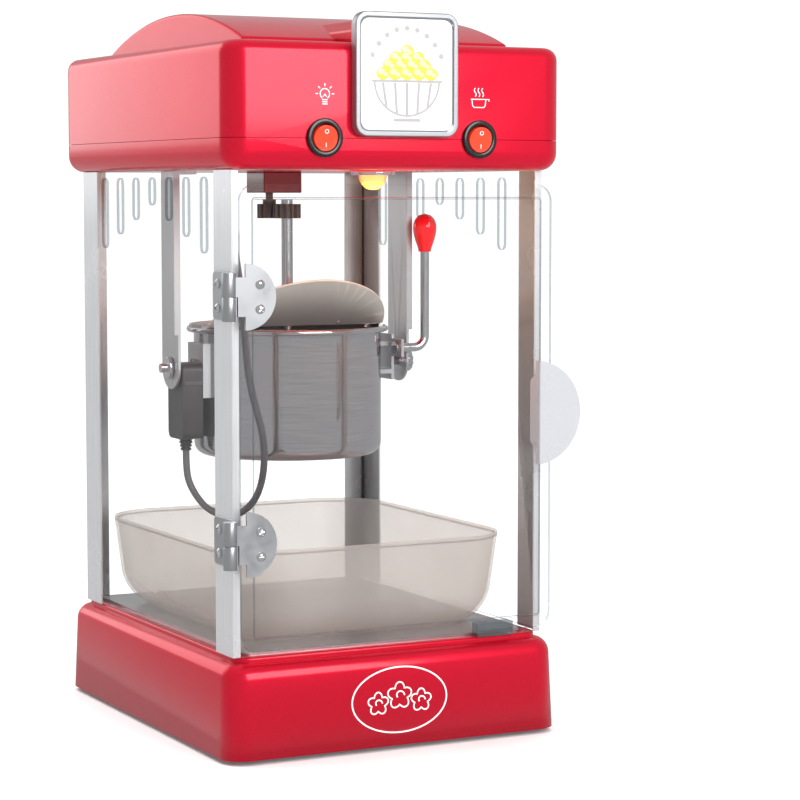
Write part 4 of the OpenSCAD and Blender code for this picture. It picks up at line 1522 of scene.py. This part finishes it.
@dataclass
class Kettle:
    """The steel kettle with its bowl, flaps, brackets, dump rod and plug."""

    rim_roll: float = 1.9
    knob_radius: float = 8.0
    knob_neck: float = 4.4
    knob_widest: float = 0.62
    seam_proud: float = 1.02

    def build(self) -> None:
        """Builds the kettle's pieces."""
        self.casing()
        self.bowl()
        self.dump_rod()
        self.knob()
        self.plug()
        self.flaps()
        dress_nodes(STRAP_STEEL, "bracket_left", "bracket_right", "kettle_crossbar", soft_mm=0.3)
        dress_nodes(NICKEL, "trunnion_left", "trunnion_right", soft_mm=0.3)
        dress_nodes(NICKEL, "knob_left", "knob_right", soft_mm=0.4)
        dress_nodes(DARK_STEEL, "kettle_heater")

    def casing(self) -> None:
        """Spins the outer casing, with a round bottom edge and a bead under the rim."""
        low, high = mm_box("kettle_casing")
        r = (high.x - low.x) / 2
        y = (low.y + high.y) / 2
        profile = [(0.0, low.z + 2.0), (r - 20, low.z + 2.0), (r - 16, low.z)]
        profile += [(r - 8, low.z)] + arc((r - 8, low.z + 8), 8, -80, 0, 7)
        profile += [(r, high.z - 8), (r, high.z), (r - 0.8, high.z), (r - 0.8, low.z + 9)]
        profile += arc((r - 8, low.z + 8), 7.2, 0, -80, 6) + [(0.0, low.z + 2.8)]
        bm = move(lathe(profile, 128), (0, y, 0))
        piece(bm, "kettle_outer", Body.KETTLE, KETTLE_STEEL, ["kettle_casing"], 0.0, 30.0)

    def bowl(self) -> None:
        """Spins the bowl with its rolled rim."""
        low, high = mm_box("kettle_bowl")
        y = (low.y + high.y) / 2
        inner = (mm_box("kettle_casing")[1].x - mm_box("kettle_casing")[0].x) / 2 - 2.0
        rim = (high.x - low.x) / 2
        top = high.z - self.rim_roll
        profile = [(0.0, low.z + 1.2)] + arc((inner - 11, low.z + 12.2), 11, -90, 0, 8)
        profile += [(inner, top - 2)] + arc((inner + 2, top - 2), 2, 180, 95, 4)
        profile += arc((rim - self.rim_roll, top), self.rim_roll, 95, -180, 14)
        profile += [(rim - 3 * self.rim_roll, top - 1.2), (inner + 1.2, top - 2.4)]
        profile += [(inner + 1.0, low.z + 14)]
        profile += arc((inner - 11, low.z + 12.2), 12.2, 0, -90, 8) + [(0.0, low.z)]
        bm = move(lathe(profile, 128), (0, y, 0))
        piece(bm, "kettle_inner", Body.KETTLE, KETTLE_STEEL, ["kettle_bowl"], 0.0, 30.0)

    def dump_rod(self) -> None:
        """Bends the dump rod up from the right bracket."""
        low, high = mm_box("dump_rod")
        y, radius = (low.y + high.y) / 2, 3.0
        x_out, z_low = high.x - radius, low.z + 4.6
        bend = 8.0
        path = [(low.x + 3.2, y, z_low), (x_out - bend - 4, y, z_low)]
        for a in range(-90, 1, 10):
            c, s = math.cos(math.radians(a)), math.sin(math.radians(a))
            path.append((x_out - bend + bend * c, y, z_low + bend + bend * s))
        path += [(x_out, y, z_low + bend + 10), (x_out, y, high.z - 1)]
        parts = [tube(path, radius, 24)]
        for x0, x1, r in ((0.0, 1.6, 4.6), (3.6, 5.2, 4.6), (5.2, 6.4, 3.7)):
            parts.append(rod((low.x + x0, y, z_low), (low.x + x1, y, z_low), r, 32))
        piece(join(parts), "dump_bar", Body.KETTLE, NICKEL, ["dump_rod"], 0.3)

    def knob(self) -> None:
        """Spins the egg-shaped red knob with a small collar."""
        low, high = mm_box("dump_knob")
        x, y = (low.x + high.x) / 2, (low.y + high.y) / 2
        r, neck, widest = self.knob_radius, self.knob_neck, self.knob_widest
        length = high.z - low.z
        profile = [(0.0, 0.0), (3.9, 0.0), (4.3, 0.4), (neck, 1.6)]
        for i in range(1, 25):
            t = i / 24
            if t < widest:
                width = neck + (r - neck) * math.sin(math.pi / 2 * t / widest) ** 1.1
            else:
                width = r * math.sqrt(max(0.0, 1 - ((t - widest) / (1 - widest)) ** 2))
            profile.append((width, 1.6 + t * (length - 1.6)))
        bm = move(lathe(profile, 48), (x, y, low.z))
        piece(bm, "dump_grip", Body.KETTLE, KNOB_RED, ["dump_knob"], 0.0, 60.0)

    def plug(self) -> None:
        """Builds the plug on the left pin, with a step and a ribbed strain relief."""
        low, high = mm_box("kettle_plug")
        bm = block((low.x, low.y, low.z + 8), (high.x, high.y, high.z))
        round_edges(bm, edges_along(bm, 0), 5.0, 6)
        x, y = (low.x + high.x) / 2, (low.y + high.y) / 2
        profile = [(0.0, 0.0), (3.3, 0.0)]
        for i in range(4):
            r, foot = 3.6 + 0.4 * i, 2.3 * i
            profile += [(r, 0.2 + foot), (r, 1.5 + foot), (r - 0.7, 1.7 + foot), (r - 0.7, 2.3 + foot)]
        profile += [(4.6, 9.6), (0.0, 9.6)]
        bm = join([bm, move(lathe(profile, 32), (x, y, low.z))])
        piece(bm, "plug_body", Body.KETTLE, GREY_PLASTIC, ["kettle_plug"], 1.0, 30.0)
        half = (high.y - low.y) / 2 * self.seam_proud
        band = block((low.x + 1.5, y - half, high.z - 14), (high.x, y + half, high.z - 11.5))
        piece(band, "plug_seam", Body.KETTLE, GEAR_PLASTIC, (), 0.3)

    def flaps(self) -> None:
        """Dresses the two flaps."""
        dress_nodes(FLAP_ALUMINIUM, "front_flap", "rear_flap", soft_mm=0.3)


@dataclass
class Drive:
    """Motor, gears, stirrer, lamp and hangers."""

    def build(self) -> None:
        """Dresses the drive and builds the lamp."""
        dress_nodes(STRAP_STEEL, "hanger_left", "hanger_right", soft_mm=0.3)
        dress_nodes(GEAR_PLASTIC, "stir_gear", "motor_pinion", soft_mm=0.15)
        dress_nodes(NICKEL, "stir_shaft", "stir_arm")
        dress_nodes(MAROON, "gearbox", soft_mm=1.0)
        dress_nodes(DARK_STEEL, "motor")
        dress_nodes(CHROME, "lamp_holder", soft_mm=0.4)
        dress_nodes(RUBBER, "lead_gland", soft_mm=0.4)
        self.bulb()

    def bulb(self) -> None:
        """Spins the lamp's envelope."""
        low, high = mm_box("lamp_bulb")
        x, y = (low.x + high.x) / 2, (low.y + high.y) / 2
        r = (high.x - low.x) / 2
        neck = [(5.4, low.z + 2 * r - 0.8), (5.0, high.z), (0.0, high.z)]
        profile = arc((0.0, low.z + r), r, -90, 50, 16) + neck
        profile[0] = (0.0, low.z)
        bm = move(lathe(profile, 48), (x, y, 0))
        piece(bm, "bulb_envelope", Body.CABINET, BULB_GLASS, ["lamp_bulb"])


@dataclass
class Lead:
    """The kettle's own lead, held by the canopy and by the plug."""

    radius: float = 2.3
    per_span: int = 8
    out_from_strap: float = 5.5
    still_before: float = -80.0
    moves_after: float = 22.0

    def route(self) -> list[Vector]:
        """Gives the route's chosen points, in millimetres from the datum.

        Returns:
            The chosen points.
        """
        plug_low, plug_high = mm_box("kettle_plug")
        top = mm_box("canopy_lower")[0].z
        kettle_z = plug_high.z - 3.0
        out = mm_box("hanger_left")[0].x - self.out_from_strap
        plug_x, plug_y = (plug_low.x + plug_high.x) / 2, (plug_low.y + plug_high.y) / 2
        chosen = [
            (out, -96, top),
            (out, -95, top - 30),
            (out + 9, -90, top - 75),
            (out + 22, -72, kettle_z),
            (out + 40, -54, kettle_z - 45),
            (out + 45, -34, kettle_z - 78),
            (out + 39, -12, kettle_z - 95),
            (plug_high.x + 2, plug_y - 16, kettle_z - 93),
            (plug_x + 1, plug_y - 3, kettle_z - 76),
            (plug_x, plug_y, plug_low.z + 1),
        ]
        return [Vector(p) for p in chosen]

    def smooth(self, points: list[Vector]) -> list[Vector]:
        """Runs a smooth curve through points.

        Args:
            points: The points to run through.

        Returns:
            The curve's points.
        """
        found = []
        last = len(points) - 1
        for i in range(last):
            a, b, c, d = points[max(i - 1, 0)], points[i], points[i + 1], points[min(i + 2, last)]
            for k in range(self.per_span):
                t = k / self.per_span
                square = 2 * a - 5 * b + 4 * c - d
                cube = 3 * b - a - 3 * c + d
                found.append(0.5 * (2 * b + (c - a) * t + square * t**2 + cube * t**3))
        return found + [points[last]]

    def build(self) -> None:
        points = self.smooth(self.route())
        obj = make_object(tube(points, self.radius, 16), "kettle_flex")
        dress(obj, LEAD_RUBBER)
        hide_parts("kettle_lead")
        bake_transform(obj)


@dataclass
class Tray:
    """The smoky crumb tray with leaning walls, a big bottom round and a turned lip."""

    corner: float = 40.0
    slope: float = 6.0
    bottom_round: float = 24.0
    wall: float = 2.0
    lip: float = 1.5
    lip_height: float = 3.0

    def build(self) -> None:
        """Builds the tray."""
        low, high = mm_box("tray")
        a = (low.x + self.lip, low.y + self.lip, low.z)
        b = (high.x - self.lip, high.y - self.lip, high.z)
        bm = block(a, b)
        bottom = [v for v in bm.verts if v.co.z < low.z + 1]
        for vert in bottom:
            vert.co.x -= math.copysign(self.slope, vert.co.x)
            vert.co.y -= math.copysign(self.slope, vert.co.y - (low.y + high.y) / 2)
        uprights = [e for e in bm.edges if abs(e.verts[0].co.z - e.verts[1].co.z) > 1.0]
        round_edges(bm, uprights, self.corner, 14)
        round_edges(bm, edges_at(bm, 2, low.z), self.bottom_round, 10)
        bmesh.ops.delete(bm, geom=faces_at(bm, 2, high.z), context="FACES")
        grown = bmesh.ops.extrude_edge_only(bm, edges=edges_at(bm, 2, high.z))
        lip = [v for v in grown["geom"] if isinstance(v, bmesh.types.BMVert)]
        self.spread(lip, (low.y + high.y) / 2, self.lip)
        edges = [e for e in grown["geom"] if isinstance(e, bmesh.types.BMEdge)]
        grown = bmesh.ops.extrude_edge_only(bm, edges=edges)
        down = [v for v in grown["geom"] if isinstance(v, bmesh.types.BMVert)]
        bmesh.ops.translate(bm, vec=(0, 0, -self.lip_height), verts=down)
        bmesh.ops.recalc_face_normals(bm, faces=bm.faces)
        obj = piece(bm, "tray_shell", Body.TRAY, SMOKE, ["tray"])
        thicken(obj, self.wall)
        soften(obj, 0.5, 2, 50.0)

    def spread(self, verts: Iterable[bmesh.types.BMVert], middle_y: float, by: float) -> None:
        """Moves rim points outwards all round.

        Args:
            verts: The points to move.
            middle_y: The Y of the rim's middle.
            by: How far they move outwards.
        """
        half_x = max(abs(v.co.x) for v in verts)
        half_y = max(abs(v.co.y - middle_y) for v in verts)
        for vert in verts:
            vert.co.x *= (half_x + by) / half_x
            vert.co.y = middle_y + (vert.co.y - middle_y) * (half_y + by) / half_y


@dataclass
class Studio:
    """The floor, the lights and the camera."""

    camera_mm: tuple[float, float, float] = (-705.2, -1517.1, 343.1)
    yaw_deg: float = 27.14
    pitch_deg: float = 4.71
    lens_mm: float = 113.2
    room_light: float = 0.5
    mirrored_light: float = 0.45
    backdrop_light: float = 1.15
    overhead_light: float = 2.7
    side_watts: float = 9.0
    front_watts: float = 40.0
    box_size: float = 1500.0
    floor_size: float = 6000.0

    def build(self) -> None:
        """Builds the studio."""
        self.camera()
        self.floor()
        self.lights()

    def camera(self) -> None:
        """Sets the camera at the chosen angle."""
        data = bpy.data.cameras.new("camera")
        data.lens = self.lens_mm
        data.sensor_width = 36.0
        obj = bpy.data.objects.new("camera", data)
        bpy.context.scene.collection.objects.link(obj)
        yaw, pitch = math.radians(self.yaw_deg), math.radians(self.pitch_deg)
        level = math.cos(pitch)
        way = Vector((math.sin(yaw) * level, math.cos(yaw) * level, -math.sin(pitch)))
        obj.location = ORIGIN + Vector(self.camera_mm) * MM
        obj.rotation_mode = "QUATERNION"
        obj.rotation_quaternion = way.to_track_quat("-Z", "Y")
        bpy.context.scene.camera = obj

    def floor(self) -> None:
        """Lays a plain pale floor."""
        bm = bmesh.new()
        bmesh.ops.create_grid(bm, x_segments=1, y_segments=1, size=self.floor_size)
        floor = make_object(bm, "floor")
        floor.data.transform(Matrix.Translation((0, 0, -ORIGIN.z)))
        dress(floor, Moulded("pale_floor", "fafafa", 0.6, 4.0, 0.02, glow=0.08))
        floor.visible_glossy = False

    def lights(self) -> None:
        """Sets the soft lights and the pale surroundings."""
        world = bpy.data.worlds.new("surroundings")
        bpy.context.scene.world = world
        world.use_nodes = True
        tree = world.node_tree
        tree.nodes.clear()
        ray = add_node(tree, "ShaderNodeLightPath")
        room = {"Color": linear("f2f3f5"), "Strength": self.room_light}
        seen = add_node(tree, "ShaderNodeBackground", room).outputs[0]
        rays = (("Is Glossy Ray", self.mirrored_light), ("Is Camera Ray", self.backdrop_light))
        for kind, strength in rays:
            white = {"Color": linear("ffffff"), "Strength": strength}
            plain = add_node(tree, "ShaderNodeBackground", white)
            share = {0: ray.outputs[kind], 1: seen, 2: plain.outputs[0]}
            seen = add_node(tree, "ShaderNodeMixShader", share).outputs[0]
        add_node(tree, "ShaderNodeOutputWorld", {"Surface": seen})
        self.area("side_box", (-1000, 1960, 1080), (0, 0, 380), self.box_size, self.side_watts)
        self.area("front_box", (350, -2120, 1160), (0, 0, 380), self.box_size, self.front_watts)
        self.overhead()
        self.lamp_glow()
        bpy.context.scene.view_settings.view_transform = "Standard"

    def overhead(self) -> None:
        """Adds one very wide soft light from above."""
        data = bpy.data.lights.new("overhead", "SUN")
        data.energy = self.overhead_light
        data.angle = math.radians(70)
        obj = bpy.data.objects.new("overhead", data)
        bpy.context.scene.collection.objects.link(obj)
        obj.rotation_euler = (math.radians(-12), math.radians(-8), 0)
        obj.visible_camera = False
        obj.visible_glossy = False

    def lamp_glow(self) -> None:
        """Adds the warm glow of the lamp just under its envelope."""
        low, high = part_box("lamp_bulb")
        data = bpy.data.lights.new("lamp_glow", "POINT")
        data.energy = 0.4
        data.color = linear("ffb45a")[:3]
        data.shadow_soft_size = 6.0 * MM
        obj = bpy.data.objects.new("lamp_glow", data)
        bpy.context.scene.collection.objects.link(obj)
        obj.location = ((low.x + high.x) / 2, (low.y + high.y) / 2, low.z - 8.0 * MM)
        obj.visible_camera = False
        obj.visible_glossy = False

    def area(
        self, name: str, at: Sequence[float], to: Sequence[float], size: float, watts: float
    ) -> None:
        """Adds one soft box that looks at a point.

        Args:
            name: The light's name.
            at: Where the light stands.
            to: The point that it looks at.
            size: The size in millimetres.
            watts: The light's power.
        """
        data = bpy.data.lights.new(name, "AREA")
        data.shape = "SQUARE"
        data.size = size * MM
        data.energy = watts
        obj = bpy.data.objects.new(name, data)
        bpy.context.scene.collection.objects.link(obj)
        obj.location = ORIGIN + Vector(at) * MM
        obj.rotation_euler = (Vector(at) - Vector(to)).to_track_quat("Z", "Y").to_euler()
        obj.visible_camera = False


@dataclass
class PopcornMaker:
    """The whole machine."""

    parts: list[object] = field(
        default_factory=lambda: [
            Studio(), Lead(), Base(), Canopy(), Sign(), Switches(),
            Cabin(), Door(), Kettle(), Drive(), Tray(),
        ]
    )

    def build(self) -> None:
        """Builds every sub-assembly in order."""
        for part in self.parts:
            part.build()
            LOG.info("built %s", type(part).__name__)


def write_sizes() -> None:
    """Updates the view layer."""
    bpy.context.view_layer.update()


def main() -> None:
    """Builds the popcorn maker and its studio."""
    logging.basicConfig(level=logging.INFO, format="%(message)s")
    PopcornMaker().build()
    write_sizes()


if __name__ == "__main__":
    main()
